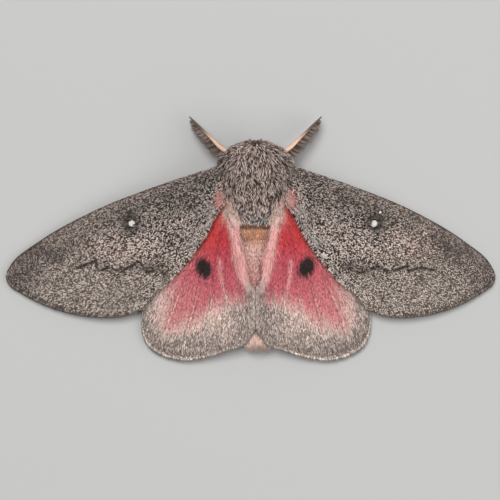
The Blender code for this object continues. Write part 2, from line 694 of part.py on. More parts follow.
def make_antenna(side):
    """A tapered shaft that stands clear of the head, and two rows of branches joined to it."""
    sign = SIDES[side]
    line = np.vstack([HEAD_CENTRE + ANTENNA_ROOT, ANTENNA_PATH])
    t = np.linspace(0, 1, ANTENNA_STEPS)
    radii = smooth(t, np.linspace(0, 1, len(ANTENNA_RADII)), ANTENNA_RADII)
    antenna = tube(f"antenna_{side}", along(line, t) * (sign, 1, 1), radii, "antenna")
    cut_away(antenna, ball("clearance", HEAD_CENTRE, HEAD_HALF + GAP, "head_fur", HEAD_GRID))
    pieces = []
    for place in np.linspace(*RAMI_SPAN, RAMI_COUNT):
        here, ahead = along(line, np.array([place, place + RAMI_AHEAD]))
        ahead = (ahead - here) / np.linalg.norm(ahead - here)
        length = np.interp(place, RAMI_PLACES, RAMI_LENGTHS)
        for tilt in RAMI_TILTS:
            side_on = np.cross((0, 0, 1.0), ahead)
            side_on /= np.linalg.norm(side_on)
            out = math.cos(tilt) * side_on + math.sin(tilt) * np.cross(ahead, side_on)
            out = out + RAMI_LEAN * ahead
            path = np.array([here, here + length * out / np.linalg.norm(out)])
            pieces.append(tube("ramus", path * (sign, 1, 1), np.array(RAMI_RADII), "antenna", 0))
    join(antenna, pieces)


def make_leg(pair, side):
    """A jointed leg as one tapered tube, clear of the thorax, with the sole of its foot on the floor."""
    sign = SIDES[side]
    t = np.linspace(0, 1, LEG_STEPS)
    radii = smooth(t, np.linspace(0, 1, len(LEG_RADII)), LEG_RADII)
    path = along(np.array(LEG_PATHS[pair]) * MM, t) * (sign, 1, 1)
    leg = tube(f"leg_{pair}_{side}", path, radii, "leg", 1)
    cut_away(leg, thorax_form("clearance", GAP))
    cut_away(leg, block("below_floor", (0, 0, -FLOOR_BLOCK / 2), FLOOR_BLOCK, "leg"))


def main():
    """Builds every part and stands them all on the empty that puts the model's centre on the origin."""
    clear_scene()
    thorax = thorax_form("thorax")
    make_tuft(make_abdomen())
    make_head(thorax)
    make_thorax_coat(thorax)
    for side in SIDES:
        make_wing("forewing", side)
        make_wing("hindwing", side)
        make_antenna(side)
        for pair in LEG_PATHS:
            make_leg(pair, side)
    moth = bpy.data.objects.new("moth", None)
    moth.location = (MIDLINE_X, MIDLINE_Y, 0)
    for obj in list(collection(PARTS).objects):
        obj.parent = moth
    collection(PARTS).objects.link(moth)


main()
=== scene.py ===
"""A silk moth at rest with its wings spread: skin, scales, hair, feathered antennae and eyes over the solids.

Sizes are in millimetres in the moth's own axes: the body's midline is X = 0, the left side is +X, the head is
at -Y and the floor at Z = 0. place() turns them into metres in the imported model's frame. u runs from a wing's
root to its margin and v from its front edge to its rear edge, both from 0 to 1.
"""

import math

import bpy
import numpy as np
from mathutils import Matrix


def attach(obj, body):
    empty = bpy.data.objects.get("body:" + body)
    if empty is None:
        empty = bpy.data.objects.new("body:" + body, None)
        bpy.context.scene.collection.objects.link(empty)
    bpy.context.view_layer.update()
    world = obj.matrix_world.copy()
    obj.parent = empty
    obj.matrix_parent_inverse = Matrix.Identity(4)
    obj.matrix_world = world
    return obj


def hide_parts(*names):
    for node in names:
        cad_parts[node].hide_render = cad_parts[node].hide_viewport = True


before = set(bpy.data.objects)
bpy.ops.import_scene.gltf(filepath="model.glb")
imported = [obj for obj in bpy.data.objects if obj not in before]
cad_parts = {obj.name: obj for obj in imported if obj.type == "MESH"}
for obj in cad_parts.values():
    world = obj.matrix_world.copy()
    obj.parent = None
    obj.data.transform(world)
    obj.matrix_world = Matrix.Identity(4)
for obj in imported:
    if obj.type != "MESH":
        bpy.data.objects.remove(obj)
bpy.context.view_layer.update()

MIDLINE = np.array([-0.55, 0.03, 0.0])
SIDES = {"left": 1.0, "right": -1.0}
draw = np.random.default_rng(11)

# Body without its coat
THORAX_Y = np.array([-11.25, -10.8, -9.9, -8.9, -7.9, -6.5, -5.0, -3.5, -2.3])
THORAX_HALF_WIDTH = np.array([1.0, 2.3, 3.3, 3.75, 3.8, 3.65, 3.3, 2.8, 2.2])
THORAX_TOP = np.array([7.0, 7.55, 8.05, 8.3, 8.4, 8.3, 7.8, 6.95, 5.95])
THORAX_BOTTOM = np.array([5.7, 5.1, 4.5, 3.1, 2.0, 1.6, 1.7, 1.9, 2.1])
THORAX_FRONT = np.array([0.0, -11.3, 5.5])
THORAX_SHARE_LENGTH = 14.0  # a unit of share behind its rear end
PAST_ENDS = 0.2  # how far past its ends a share may run
ABDOMEN_Y = np.array([-1.95, -0.6, 1.2, 3.6, 6.0, 8.4, 10.4, 11.8])
ABDOMEN_HALF_WIDTH = np.array([2.1, 2.45, 2.6, 2.55, 2.35, 2.0, 1.5, 0.95])
ABDOMEN_TOP = np.array([4.35, 4.55, 4.45, 4.15, 3.8, 3.45, 3.05, 2.65])
ABDOMEN_BOTTOM = np.array([1.5, 0.95, 0.6, 0.45, 0.45, 0.55, 0.75, 1.15])
HEAD_CENTRE = np.array([0.0, -10.0, 3.0])
HEAD_HALF = np.array([1.95, 1.5, 1.7])
EYE_RADIUS = 0.95
EYE_CENTRE = np.array([1.45, -10.35, 2.75])

# Wing sheets and outlines, as in the solids
ROOT_SUNK = 0.5
SHEET_RIDGE = 5.6
SHEET_FALL_BACK = 0.14
SHEET_RIDGE_Y = -2.0
SHEET_FLOOR = 0.35
SHEET_SPREAD = 5.5
FOREWING_LIFT = 1.35
FOREWING_TIP_LIFT = 0.5
FOREWING_LIFT_FROM = 14.0
FOREWING_LIFT_OVER = 15.0
FRONT_EDGE_DROOP = 0.7
WING_REACH = {
    ("forewing", "left"): 1.02,
    ("forewing", "right"): 0.98,
    ("hindwing", "left"): 0.995,
    ("hindwing", "right"): 1.005,
}
ROOT_Y = {"forewing": (-8.95, -5.5), "hindwing": (-5.3, -2.75)}
FRONT = {
    "forewing": np.array([(10.95, -6.55), (18.6, -3.55), (25.3, 0.25), (28.0, 2.4), (29.05, 4.1)]),
    "hindwing": np.array([(7.0, -3.2), (10.3, 0.9), (12.4, 4.6), (13.3, 7.6)]),
}
REAR = {
    "forewing": np.array([(4.3, -3.5), (5.6, -1.05), (8.95, 3.55), (12.4, 7.1), (13.3, 8.3)]),
    "hindwing": np.array([(1.85, -1.0), (1.6, 0.6), (1.05, 2.95), (0.52, 4.9), (0.22, 6.9), (0.22, 10.9)]),
}
OUTER = {
    "forewing": np.array([(28.7, 5.3), (27.2, 6.4), (25.2, 7.5), (22.4, 8.55), (18.7, 9.2), (15.6, 9.1)]),
    "hindwing": np.array(
        [
            (13.6, 9.6), (13.4, 11.4), (12.75, 12.75), (11.2, 13.8),
            (8.6, 14.42), (6.0, 14.05), (3.4, 13.2), (1.2, 12.25),
        ]
    ),
}
VEINS = {  # each vein's v, and the u where it begins
    "forewing": [
        (0.05, 0.0), (0.17, 0.0), (0.31, 0.42), (0.44, 0.45),
        (0.57, 0.42), (0.69, 0.0), (0.81, 0.28), (0.93, 0.0),
    ],
    "hindwing": [(0.08, 0.0), (0.22, 0.0), (0.36, 0.42), (0.5, 0.45), (0.63, 0.0), (0.76, 0.3), (0.9, 0.0)],
}
MARGIN_SHARE = {"forewing": 0.985, "hindwing": 0.975}  # u where the membrane ends and the fringe goes on
SKIN_GRID = {"forewing": (150, 130), "hindwing": (110, 120)}  # points along u and v
INSIDE = (0.002, 0.998)  # u and v stay in here where a slope is taken
MEMBRANE = 0.2  # thickness
VEIN_RISE = 0.09
VEIN_WIDTH = 0.16

ANTENNA_PATH = np.array(
    [
        (0.85, -10.15, 3.75), (2.75, -10.2, 4.1), (3.75, -10.6, 3.9), (5.2, -11.95, 3.4),
        (6.3, -13.05, 2.8), (7.15, -13.9, 2.35), (7.8, -14.55, 2.05),
    ]
)
LEG_PATHS = {
    "fore": np.array(
        [(1.2, -7.6, 2.9), (3.35, -8.3, 2.0), (2.75, -9.7, 0.8), (2.45, -10.3, 0.25), (2.2, -11.2, 0.2)]
    ),
    "mid": np.array(
        [(1.5, -6.4, 3.0), (5.2, -6.0, 2.75), (6.4, -6.6, 1.0), (6.9, -6.8, 0.25), (7.9, -7.1, 0.2)]
    ),
    "hind": np.array(
        [(1.2, -4.6, 3.0), (4.4, -2.6, 2.3), (4.85, 0.4, 0.95), (5.0, 1.3, 0.25), (5.1, 2.4, 0.2)]
    ),
}
LEGS = [path * (sign, 1, 1) for path in LEG_PATHS.values() for sign in SIDES.values()]
LEG_RADII = np.array([0.6, 0.5, 0.42, 0.5, 0.4, 0.3, 0.28, 0.26]) - 0.12  # less the coat's depth
PALP = np.array([(0.5, -10.5, 2.25), (0.62, -11.4, 1.95), (0.66, -11.95, 2.1)])
PALP_RADII = np.array([0.3, 0.3, 0.07])
NECK = np.array([(0.0, -9.2, 3.8), (0.0, -7.6, 4.6)])
NECK_RADII = np.array([1.4, 1.6])
WAIST = np.array([(0.0, -3.4, 3.6), (0.0, -0.6, 2.8)])
WAIST_RADII = np.array([1.5, 1.6])
THORAX_REAR_Y = -2.2  # the abdomen's colours begin here
TUFT_REAR_Y = 13.35  # the tips of the abdomen's end tuft
SKIN_VOXEL = 0.1

# Colours, linear
UMBER = np.array([0.05, 0.037, 0.031])
BROWN = np.array([0.20, 0.155, 0.13])
PINK_TAN = np.array([0.70, 0.43, 0.36])
CREAM = np.array([0.80, 0.66, 0.54])
WHITE = np.array([0.88, 0.86, 0.83])
CRIMSON = np.array([0.535, 0.04, 0.052])
SCARLET = np.array([0.6, 0.058, 0.053])
ROSE = np.array([0.50, 0.085, 0.115])
SALMON = np.array([0.575, 0.225, 0.22])
BLUSH = np.array([0.86, 0.55, 0.51])
DUSTY_PINK = np.array([0.56, 0.27, 0.24])
PALE_PINK = np.array([0.60, 0.455, 0.40])
CLOUD_BROWN = np.array([0.05, 0.038, 0.029])
BLACK = np.array([0.016, 0.007, 0.006])
ORANGE_BROWN = np.array([0.53, 0.265, 0.15])
BLUE_GREY = np.array([0.34, 0.32, 0.325])
FOREWING_ROOT = np.array([0.178, 0.142, 0.121])
FOREWING_INNER = np.array([0.233, 0.173, 0.146])
FOREWING_MIDDLE = np.array([0.29, 0.221, 0.184])
FOREWING_TERMINAL = np.array([0.328, 0.268, 0.226])
FOREWING_APEX = np.array([0.175, 0.136, 0.125])
FOREWING_COSTA = np.array([0.235, 0.188, 0.162])
HINDWING_BAND = np.array([0.40, 0.325, 0.29])
THORAX_GREY = np.array([0.29, 0.206, 0.172])
ABDOMEN_TAN = np.array([0.82, 0.53, 0.46])
TUFT_CREAM = CREAM + (WHITE - CREAM) * 0.3
SHAFT_TAN = np.array([0.72, 0.47, 0.34])

# Marks on the wings, as places on the left wing or mirrored on the right one
DOT = {"left": (14.42, -2.0), "right": (13.84, -2.0)}
DOT_RADIUS = 0.34
DOT_CLEAR = 0.36  # no other scales within this of its centre
SMALL_DOT = (14.55, -3.3)
SMALL_DOT_RADIUS = 0.1
LINE_WIDTH = 0.21
LINE = {
    "left": [
        (20.9, 3.25), (18.8, 2.45), (18.4, 3.65), (17.2, 3.15), (15.9, 3.7), (14.5, 3.0),
        (13.6, 2.5), (12.8, 3.7), (11.1, 3.5), (10.5, 4.2),
    ],
    "right": [
        (10.4, 2.9), (12.25, 3.85), (14.4, 3.0), (15.6, 3.75), (17.9, 3.0), (17.95, 3.6),
        (19.6, 3.2), (21.2, 3.6),
    ],
}
BLOTCH = {"left": (12.6, 3.3), "right": (12.4, 3.6)}
SMEAR = {"left": [(23.0, 2.3), (26.0, 0.7)], "right": [(21.2, -0.4), (22.6, 1.1), (24.4, 1.3)]}
# Centre of a painted sheen on each forewing: a pale pink-tan patch laid over the grain as a highlight
SHEEN_SPOT = {"left": (16.2, 1.4), "right": (19.0, 0.9)}
ROOT_PATCH = (3.95, -4.9, 0.65, 1.1)  # pink: centre and radii
SPOT = {"left": (5.97, 3.2), "right": (5.9, 3.1)}
SPOT_RADII = (0.85, 1.18)
SPOT_TURN = 0.45
PALE_VEIN = [(4.1, 2.3), (3.95, 4.2), (3.7, 5.6), (3.4, 6.6)]
RAY_WIDTH = 0.0045  # of the cream lines along the veins, as a share of the wing
STRIP = {
    "left": [(3.5, -5.0), (3.15, -3.7), (2.75, -2.1), (2.28, 0.06), (1.74, 2.6), (1.34, 4.4), (0.9, 5.6)],
    "right": [(3.1, -5.0), (2.75, -3.7), (2.42, -2.1), (2.0, 0.06), (1.48, 2.6), (1.15, 4.4), (0.75, 5.6)],
}
# The red ends at RED_ENDS_Y behind RED_ENDS_X, and at RED_SIDE_X outwards of RED_SIDE_Y
RED_ENDS_X = [0.0, 1.4, 2.8, 4.0, 5.0, 6.0, 7.0, 8.0, 9.0, 10.0, 10.8, 12.0]
RED_ENDS_Y = [6.2, 6.7, 7.1, 7.7, 8.5, 9.3, 10.0, 10.4, 10.7, 10.7, 10.5, 9.6]
RED_SIDE_Y = [3.4, 4.4, 5.2, 6.0, 7.0, 8.0, 9.0, 10.0, 11.0]
RED_SIDE_X = [11.5, 11.2, 10.9, 10.9, 11.0, 11.1, 11.2, 11.1, 10.6]

# The thorax's coat turns pink at PINK_FROM_X from the midline at PINK_FROM_Y
PINK_FROM_Y = [-6.5, -5.6, -4.7, -3.5, -2.3, -1.8]
PINK_FROM_X = [4.3, 3.35, 2.5, 1.95, 1.35, 0.9]

# Soft patches on the wings: colour, how strong, centre x and y, two radii and the oval's turn
FOREWING_PATCHES = {
    side: [
        (FOREWING_APEX, apex, 27.6, 2.9, 3.4, 2.9),
        (FOREWING_MIDDLE * 1.15, 0.5, 18.8, -0.1, 4.2, 1.5),
        (FOREWING_INNER * 1.5, 0.55, 7.9, -0.8, 1.9, 1.7),
        # Painted sheen: a broad pale pink-tan patch round the sheen spot
        (PINK_TAN, 0.13, *SHEEN_SPOT[side], 2.6, 1.5, 0.25),
        (PINK_TAN, 0.3, SHEEN_SPOT[side][0] - 0.4, SHEEN_SPOT[side][1], 0.2, 0.7, 0.3),
        (PINK_TAN, 0.1, 8.6, -5.6, 1.2, 0.5, 0.4),
    ]
    for side, apex in (("left", 0.8), ("right", 0.35))
}
FOREWING_CLOUDS = {
    side: [
        (UMBER, front, 10.1, -5.2, 0.9, 0.6),
        (CLOUD_BROWN, 0.3, 7.4, -4.1, 2.0, 0.9, 0.3),
        (CLOUD_BROWN, 0.3, 12.2, 3.0, 1.4, 0.8),
        (CLOUD_BROWN, outer, 21.5, 2.5, 1.1, 0.8),
    ]
    for side, front, outer in (("left", 0.4, 0.0), ("right", 0.12, 0.3))
}
# Painted light: salmon patches on the red just behind the forewing's rear edge, lifting the shadow that the
# forewing casts there
FOREWING_SHADOW_LIFT = [(SALMON, 0.35, 7.2, 1.7, 0.7, 1.5, -0.6), (SALMON * 1.5, 0.6, 8.6, 3.3, 0.6, 1.7, -0.75)]
BAND_PATCHES = {
    side: [(PALE_PINK * 1.1, outer, 11.4, 7.2, 0.8, 1.2), (PALE_PINK * 1.5, 0.5, 4.0, 9.9, 1.7, 1.0, 0.2)]
    for side, outer in (("left", 0.5), ("right", 0.1))
}
BAND_SHADE = {"left": 0.05, "right": 0.14}

# How the coat grows
UP = np.array([0.0, 0.0, 1.0])
EVEN_STEPS = (0.8191725134, 0.6710436067, 0.5497004779)  # 1/g, 1/g^2 and 1/g^3, where g^4 = g + 1
SUNFLOWER_TURN = 2.399963  # the golden angle
BAKE_PATCH = 0.003  # across, on the bake map
HAIR_TAPER = 0.75  # width at a hair's middle, as a share of its root's
HAIR_MIDDLE = 0.55  # height at its middle, as a share of its tip's
LINE_SCALES = 27  # for each mm of the dark line

# Studio, in metres
FLOOR_HALF = 0.6
# Each light's place, size and power
LIGHTS = [("key", (0.05, -0.11, 0.47), 0.2, 2.1), ("fill", (-0.28, 0.12, 0.34), 0.35, 0.8)]
SKY_STRENGTH = 0.32
CAMERA_PLACE = (0.00009, 0.00118, 0.303)
LENS = 184.2


def smooth(x, knots, values):
    """Values along a smooth line through the knots: a cubic between each two, with the mean slope at each."""
    x = np.clip(np.asarray(x, float), knots[0], knots[-1])
    slopes = np.gradient(values, knots, axis=0)
    i = np.clip(np.searchsorted(knots, x, side="right") - 1, 0, len(knots) - 2)
    width = knots[i + 1] - knots[i]
    t = (x - knots[i]) / width
    if values.ndim > 1:
        t, width = t[..., None], width[..., None]
    before = values[i] * (1 + 2 * t) + slopes[i] * t * width
    after = values[i + 1] * (3 - 2 * t) + slopes[i + 1] * (t - 1) * width
    return before * (1 - t) ** 2 + after * t**2


def along(points, t):
    """Points at shares t of the length of a smooth line through the given points."""
    steps = np.linalg.norm(np.diff(points, axis=0), axis=1)
    knots = np.concatenate([[0.0], np.cumsum(steps)]) / steps.sum()
    return smooth(t, knots, points)


def unit(a):
    """Each vector at length 1."""
    return a / np.maximum(np.linalg.norm(a, axis=-1, keepdims=True), 1e-12)


def fade(x, start, end):
    """0 at start and 1 at end, with a smooth step between."""
    t = np.clip((x - start) / (end - start), 0, 1)
    return t * t * (3 - 2 * t)


def mix(a, b, share):
    """Colour a turned into colour b by share."""
    return a + (b - a) * np.asarray(share)[..., None]


def bell(x, y, cx, cy, rx, ry, turn=0.0):
    """1 at a centre and falling off as a bell over the two radii of a turned oval."""
    c, s = math.cos(turn), math.sin(turn)
    a = ((x - cx) * c + (y - cy) * s) / rx
    b = ((y - cy) * c - (x - cx) * s) / ry
    return np.exp(-(a * a + b * b))


def near_line(x, y, points, width):
    """1 on a line of straight pieces and falling off as a bell over width from it."""
    best = np.full(np.shape(x), 1e9)
    for (ax, ay), (bx, by) in zip(points[:-1], points[1:]):
        dx, dy = bx - ax, by - ay
        t = np.clip(((x - ax) * dx + (y - ay) * dy) / (dx**2 + dy**2), 0, 1)
        best = np.minimum(best, (x - ax - t * dx) ** 2 + (y - ay - t * dy) ** 2)
    return np.exp(-best / width**2)


def patched(colour, x, y, patches):
    """The colour with soft patches laid over it in turn: each is mixed in by its strength times its bell."""
    for tint, strength, *place_and_size in patches:
        colour = mix(colour, tint, strength * bell(x, y, *place_and_size))
    return colour


def rows_of(value, count):
    """One colour or direction in count rows."""
    return np.repeat(np.asarray(value)[None], count, 0)


def swirl(p, size):
    """A smooth wavering number from place to place: a sum of waves of about that size in three directions."""
    k = 2 * math.pi / size
    x, y, z = p[..., 0] * k, p[..., 1] * k, p[..., 2] * k
    waves = np.sin(x + 1.7 * np.sin(0.7 * y + 1)) + np.sin(0.8 * y - 0.5 * x + 2) + np.sin(0.9 * z + 0.6 * x)
    return waves / 3


def thorax_section(y):
    """Half width, middle height and half height of the thorax at y."""
    width = smooth(y, THORAX_Y, THORAX_HALF_WIDTH)
    top = smooth(y, THORAX_Y, THORAX_TOP)
    bottom = smooth(y, THORAX_Y, THORAX_BOTTOM)
    return width, (top + bottom) / 2, (top - bottom) / 2


def thorax_point(share, turn):
    """An oval across Y at a share of the way from front to rear, turn radians from the top to the left."""
    y = smooth(share, np.linspace(0, 1, len(THORAX_Y)), THORAX_Y)
    width, middle, half = thorax_section(y)
    return np.stack([width * np.sin(turn), y + 0 * turn, middle + half * np.cos(turn)], axis=-1)


def abdomen_point(share, turn):
    """An oval across Y at a share of the abdomen's length, with a shallow groove between two segments."""
    y = ABDOMEN_Y[0] + (ABDOMEN_Y[-1] - ABDOMEN_Y[0]) * share
    groove = 0.1 * np.exp(-(((share * 7 + 0.5) % 1.0 - 0.5) ** 2) / 0.004)
    width = smooth(y, ABDOMEN_Y, ABDOMEN_HALF_WIDTH) - groove
    top = smooth(y, ABDOMEN_Y, ABDOMEN_TOP) - groove
    bottom = smooth(y, ABDOMEN_Y, ABDOMEN_BOTTOM) + groove
    return np.stack(
        [width * np.sin(turn), y + 0 * turn, (top + bottom) / 2 + (top - bottom) / 2 * np.cos(turn)], axis=-1
    )


def head_point(share, turn):
    """An egg: share runs from the top of the head to its underside, and turn round it from the face."""
    up = math.pi * share
    aim = np.stack([-np.sin(up) * np.sin(turn), -np.sin(up) * np.cos(turn), np.cos(up) + 0 * turn], axis=-1)
    return HEAD_CENTRE + aim * HEAD_HALF


def tube(path, radii):
    """A round tube along a smooth path, as a surface of (share of its length, turn round it)."""

    def surface(share, turn):
        """Off the path by the radius there, turned from the side to the top."""
        here = along(path, share)
        ahead = unit(along(path, np.clip(share + 0.01, 0, 1)) - along(path, np.clip(share - 0.01, 0, 1)))
        side = unit(np.cross(ahead, UP))
        up = np.cross(side, ahead)
        radius = smooth(share, np.linspace(0, 1, len(radii)), radii)[..., None]
        return here + radius * (np.cos(turn)[..., None] * side - np.sin(turn)[..., None] * up)

    return surface


def frame_at(surface, a, b):
    """On a surface of (a, b): point, unit vectors along a and b, normal, and lengths per unit of a and b."""
    step = 1e-3
    da = (surface(a + step, b) - surface(a - step, b)) / (2 * step)
    db = (surface(a, b + step) - surface(a, b - step)) / (2 * step)
    size_a, size_b = np.linalg.norm(da, axis=-1), np.linalg.norm(db, axis=-1)
    return surface(a, b), unit(da), unit(db), unit(np.cross(db, da)), size_a, size_b


def sheet_height(x, y):
    """A bell over the body, falling away sideways and backwards."""
    ridge = SHEET_RIDGE - SHEET_FALL_BACK * (y - SHEET_RIDGE_Y)
    return SHEET_FLOOR + (ridge - SHEET_FLOOR) / (1 + (x / SHEET_SPREAD) ** 2)


def wing_height(wing, x, y, v):
    """Height of a wing's middle. The forewing lies over the hindwing, and its front edge droops."""
    z = sheet_height(x, y)
    if wing == "forewing":
        t = np.clip((x - FOREWING_LIFT_FROM) / FOREWING_LIFT_OVER, 0, 1)
        z = z + FOREWING_LIFT + (FOREWING_TIP_LIFT - FOREWING_LIFT) * t * t * (3 - 2 * t)
        z = z - FRONT_EDGE_DROOP * np.clip(1 - v / 0.3, 0, 1) ** 2 * (1 - 0.4 * t)
    return z


def wing_root(wing, v):
    """Root line of a wing, a little inside the thorax."""
    front, rear = ROOT_Y[wing]
    y = front + (rear - front) * v
    x = smooth(y, THORAX_Y, THORAX_HALF_WIDTH)
    for _ in range(4):
        width, middle, half = thorax_section(y)
        side = width * np.sqrt(np.clip(1 - ((wing_height(wing, x, y, v) - middle) / half) ** 2, 0.05, 1))
        x = side - ROOT_SUNK
    return np.stack([x, y], axis=-1)


def wing_surface(wing, side):
    """The wing's sheet as a function of u, from root to margin, and v, from front edge to rear edge.

    Four edge lines are joined: each point blends the two across and the two along, less the corners' blend.
    """
    ends = wing_root(wing, np.array([0.0, 1.0]))
    front_line = np.vstack([ends[:1], FRONT[wing]])
    rear_line = np.vstack([ends[1:], REAR[wing]])
    margin_line = np.vstack([FRONT[wing][-1:], OUTER[wing], REAR[wing][-1:]])
    sign, more = SIDES[side], WING_REACH[wing, side] - 1

    def surface(u, v):
        """The four edges joined in plan, stretched sideways towards the tip, at the wing's height."""
        u, v = np.broadcast_arrays(np.clip(u, 0, 1), np.clip(v, 0, 1))
        a, b = u[..., None], v[..., None]
        flat = (1 - b) * along(front_line, u) + b * along(rear_line, u)
        flat = flat + (1 - a) * wing_root(wing, v) + a * along(margin_line, v)
        flat = flat - (1 - a) * ((1 - b) * ends[0] + b * ends[1])
        flat = flat - a * ((1 - b) * front_line[-1] + b * rear_line[-1])
        x = flat[..., 0] * (1 + more * np.clip(flat[..., 0] / front_line[-1, 0], 0, 1))
        return np.stack([sign * x, flat[..., 1], wing_height(wing, x, flat[..., 1], v)], axis=-1)

    return surface


def forewing_colour(side, u, v, p):
    """Colour and contrast of the grain on a forewing's upper face, from the place p and the shares u and v.

    Grey zones from root to margin, patches, the cloud round the dot, the broken line, and dark edges, times a
    slow swirl.
    """
    x, y = np.abs(p[..., 0]), p[..., 1]
    colour = mix(FOREWING_ROOT, FOREWING_INNER, fade(v, 0.25, 0.6) + 0 * u)
    colour = mix(colour, FOREWING_MIDDLE, fade(u, 0.3, 0.5) * fade(v, 0.12, 0.4))
    colour = mix(colour, FOREWING_TERMINAL, fade(u, 0.62, 0.8) * fade(v, 0.05, 0.3))
    colour = mix(colour, FOREWING_COSTA, fade(v, 0.16, 0.05))
    colour = patched(colour, x, y, FOREWING_PATCHES[side])
    root = bell(x, y, *ROOT_PATCH)
    colour = mix(colour, DUSTY_PINK * 1.2, 0.95 * root)
    cloud = np.clip(1.5 * bell(x, y, DOT[side][0] + 0.2, DOT[side][1], 1.15, 1.1), 0, 1)
    broken = 0.75 + 0.35 * np.sin(x * 4.1 + 2.0 * np.sin(x * 1.7))
    line = near_line(x, y, LINE[side], LINE_WIDTH) * broken
    line = np.maximum(line, 0.6 * bell(x, y, *BLOTCH[side], 0.9, 0.55))
    line = np.clip(np.maximum(line, 0.35 * bell(x, y, 11.0, 3.1, 1.3, 0.9)), 0, 1)
    colour = mix(colour, CLOUD_BROWN, 0.9 * cloud)
    colour = mix(colour, UMBER * 0.7, 0.85 * line)
    colour = mix(colour, UMBER, 0.5 * near_line(x, y, SMEAR[side], 0.75))
    colour = patched(colour, x, y, FOREWING_CLOUDS[side])
    colour = mix(colour, UMBER, 0.7 * fade(v, 0.025, 0.0))
    colour = mix(colour, UMBER, 0.7 * fade(u, 0.958, 0.985))
    colour = colour * (1 + 0.14 * swirl(p, 3.0) + 0.08 * swirl(p + 5.0, 1.1))[..., None]
    contrast = 0.88 + 0.36 * fade(v, 0.1, 0.5) * fade(u, 0.85, 0.5)
    contrast = contrast * (1 - 0.2 * fade(v, 0.1, 0.04)) * (1 - 0.9 * root)
    contrast = contrast * (1 - 0.35 * line) * (1 - 0.1 * cloud)
    return colour * (0.9 - 0.08 * fade(u, 0.6, 0.4))[..., None], contrast


def hindwing_colour(side, u, v, p):
    """Colour and contrast of the grain on a hindwing's upper face.

    The red is crimson near the body and scarlet by the forewing. It fades through pale pink into a grey band,
    the veins show as broken cream lines, and a round dark spot and a pale strip beside the body lie over it.
    """
    x, y = np.abs(p[..., 0]), p[..., 1]
    colour = mix(CRIMSON, SCARLET, 0.9 * fade(v, 0.7, 0.3) + 0 * u)
    colour = mix(colour, ROSE, fade(y, -0.5, 3.5))
    colour = mix(colour, SALMON, 0.75 * fade(y, 2.0, 7.5) * (0.3 + 0.7 * fade(v, 0.7, 0.3)))
    colour = mix(colour, SALMON, 0.45 * fade(v, 0.3, 0.12) * fade(y, -2.0, 1.0))
    # painted light behind the forewing's rear edge, against the shadow it casts
    colour = patched(colour, x, y, FOREWING_SHADOW_LIFT)
    streak = np.sin(v * 61 + 2 * np.sin(v * 23)) + 0.6 * np.sin(v * 143 + 1.5)
    colour = mix(colour, SALMON * 1.15, 0.22 * fade(streak, 0.0, 1.4) * fade(y, 3.0, 6.0))
    colour = mix(colour, BLUSH, 0.38 * near_line(x, y, PALE_VEIN, 0.24))
    behind = y + 0.25 * streak - np.interp(x, RED_ENDS_X, RED_ENDS_Y)
    beyond = np.maximum(behind, x - np.interp(y, RED_SIDE_Y, RED_SIDE_X) + 0.2 * streak)
    soft = mix(PALE_PINK * 0.95, PALE_PINK * 1.15, fade(v, 0.35, 0.65) * fade(v, 0.97, 0.85) + 0 * u)
    softening = fade(beyond + 0.15 * streak * fade(v, 0.7, 0.4) - 0.9 * fade(x, 4.6, 2.6), -2.6, 0.7)
    colour = mix(colour, soft, (0.85 - 0.45 * fade(x, 2.4, 1.2)) * softening)
    colour = mix(colour, HINDWING_BAND, fade(beyond + 0.3 * swirl(p, 1.4), -0.3, 1.5))
    colour = patched(colour, x, y, BAND_PATCHES[side])
    colour = mix(colour, HINDWING_BAND * 0.8, 0.75 * fade(u, 0.8, 0.93) * fade(v, 0.65, 0.4))
    colour = mix(colour, HINDWING_BAND * 0.8, 0.35 * fade(v, 0.04, 0.0) * fade(u, 0.6, 0.75))
    ray = np.zeros(np.shape(u))
    for where, _ in VEINS["hindwing"][:-1]:
        ray = np.maximum(ray, np.exp(-(((v - where) / RAY_WIDTH) ** 2)))
    ray = 0.6 * ray * fade(u, 0.5, 0.62) * fade(u, 0.97, 0.88) * fade(np.sin(u * 130 + v * 40), -1.3, 0.5)
    colour = mix(colour, CREAM * 0.92, ray)
    width = 0.42 + 0.12 * fade(y, 0.0, 2.0) - 0.18 * fade(y, 2.5, 5.5)
    strip = near_line(x, y, STRIP[side], width) * fade(u, 0.7, 0.45)
    colour = mix(colour, mix(SALMON, BLUSH, 0.35 - 0.15 * fade(y, 1.5, 3.5)), np.clip(1.15 * strip, 0, 0.85))
    colour = mix(colour, CREAM, 0.7 * bell(x, y, STRIP[side][1][0] + 0.1, -3.4, 0.5, 1.2, -0.25))
    colour = mix(colour, BLUSH, 0.85 * fade(strip_x(side, y) - x, 0.0, 0.35) * fade(y, 2.5, 1.0))
    colour = mix(colour, HINDWING_BAND * 0.8, 0.5 * fade(v, 0.8, 0.97) * fade(y, 5.0, 7.0))
    colour = mix(colour, UMBER * 3.5, 0.5 * fade(u, 0.905, 0.93) * fade(u, 0.955, 0.94))
    colour = mix(colour, TUFT_CREAM * 0.9, 0.75 * fade(u, 0.948, 0.965))
    dark = bell(x, y, *SPOT[side], *SPOT_RADII, SPOT_TURN)
    colour = mix(colour, BLACK, fade(dark + 0.06 * streak + 0.14 * swirl(p, 0.4), 0.08, 0.55))
    grey = fade(beyond, -0.4, 1.2) * (1 - fade(dark, 0.1, 0.4))
    colour = colour * (1 - grey * BAND_SHADE[side])[..., None]
    return colour, 0.06 + 0.3 * grey + 0.1 * strip


def strip_x(side, y):
    """How far the pale strip beside the abdomen lies from the midline at y."""
    x, at = np.array(STRIP[side]).T
    return np.interp(y, at, x)


def under_colour(u, v):
    """Colour and contrast on the underside of any wing: pinkish grey, paler towards the rear."""
    colour = mix(PINK_TAN * 0.75, FOREWING_TERMINAL * 1.3, fade(v, 0.1, 0.6) + 0 * u)
    return colour, 0.35 + 0 * u


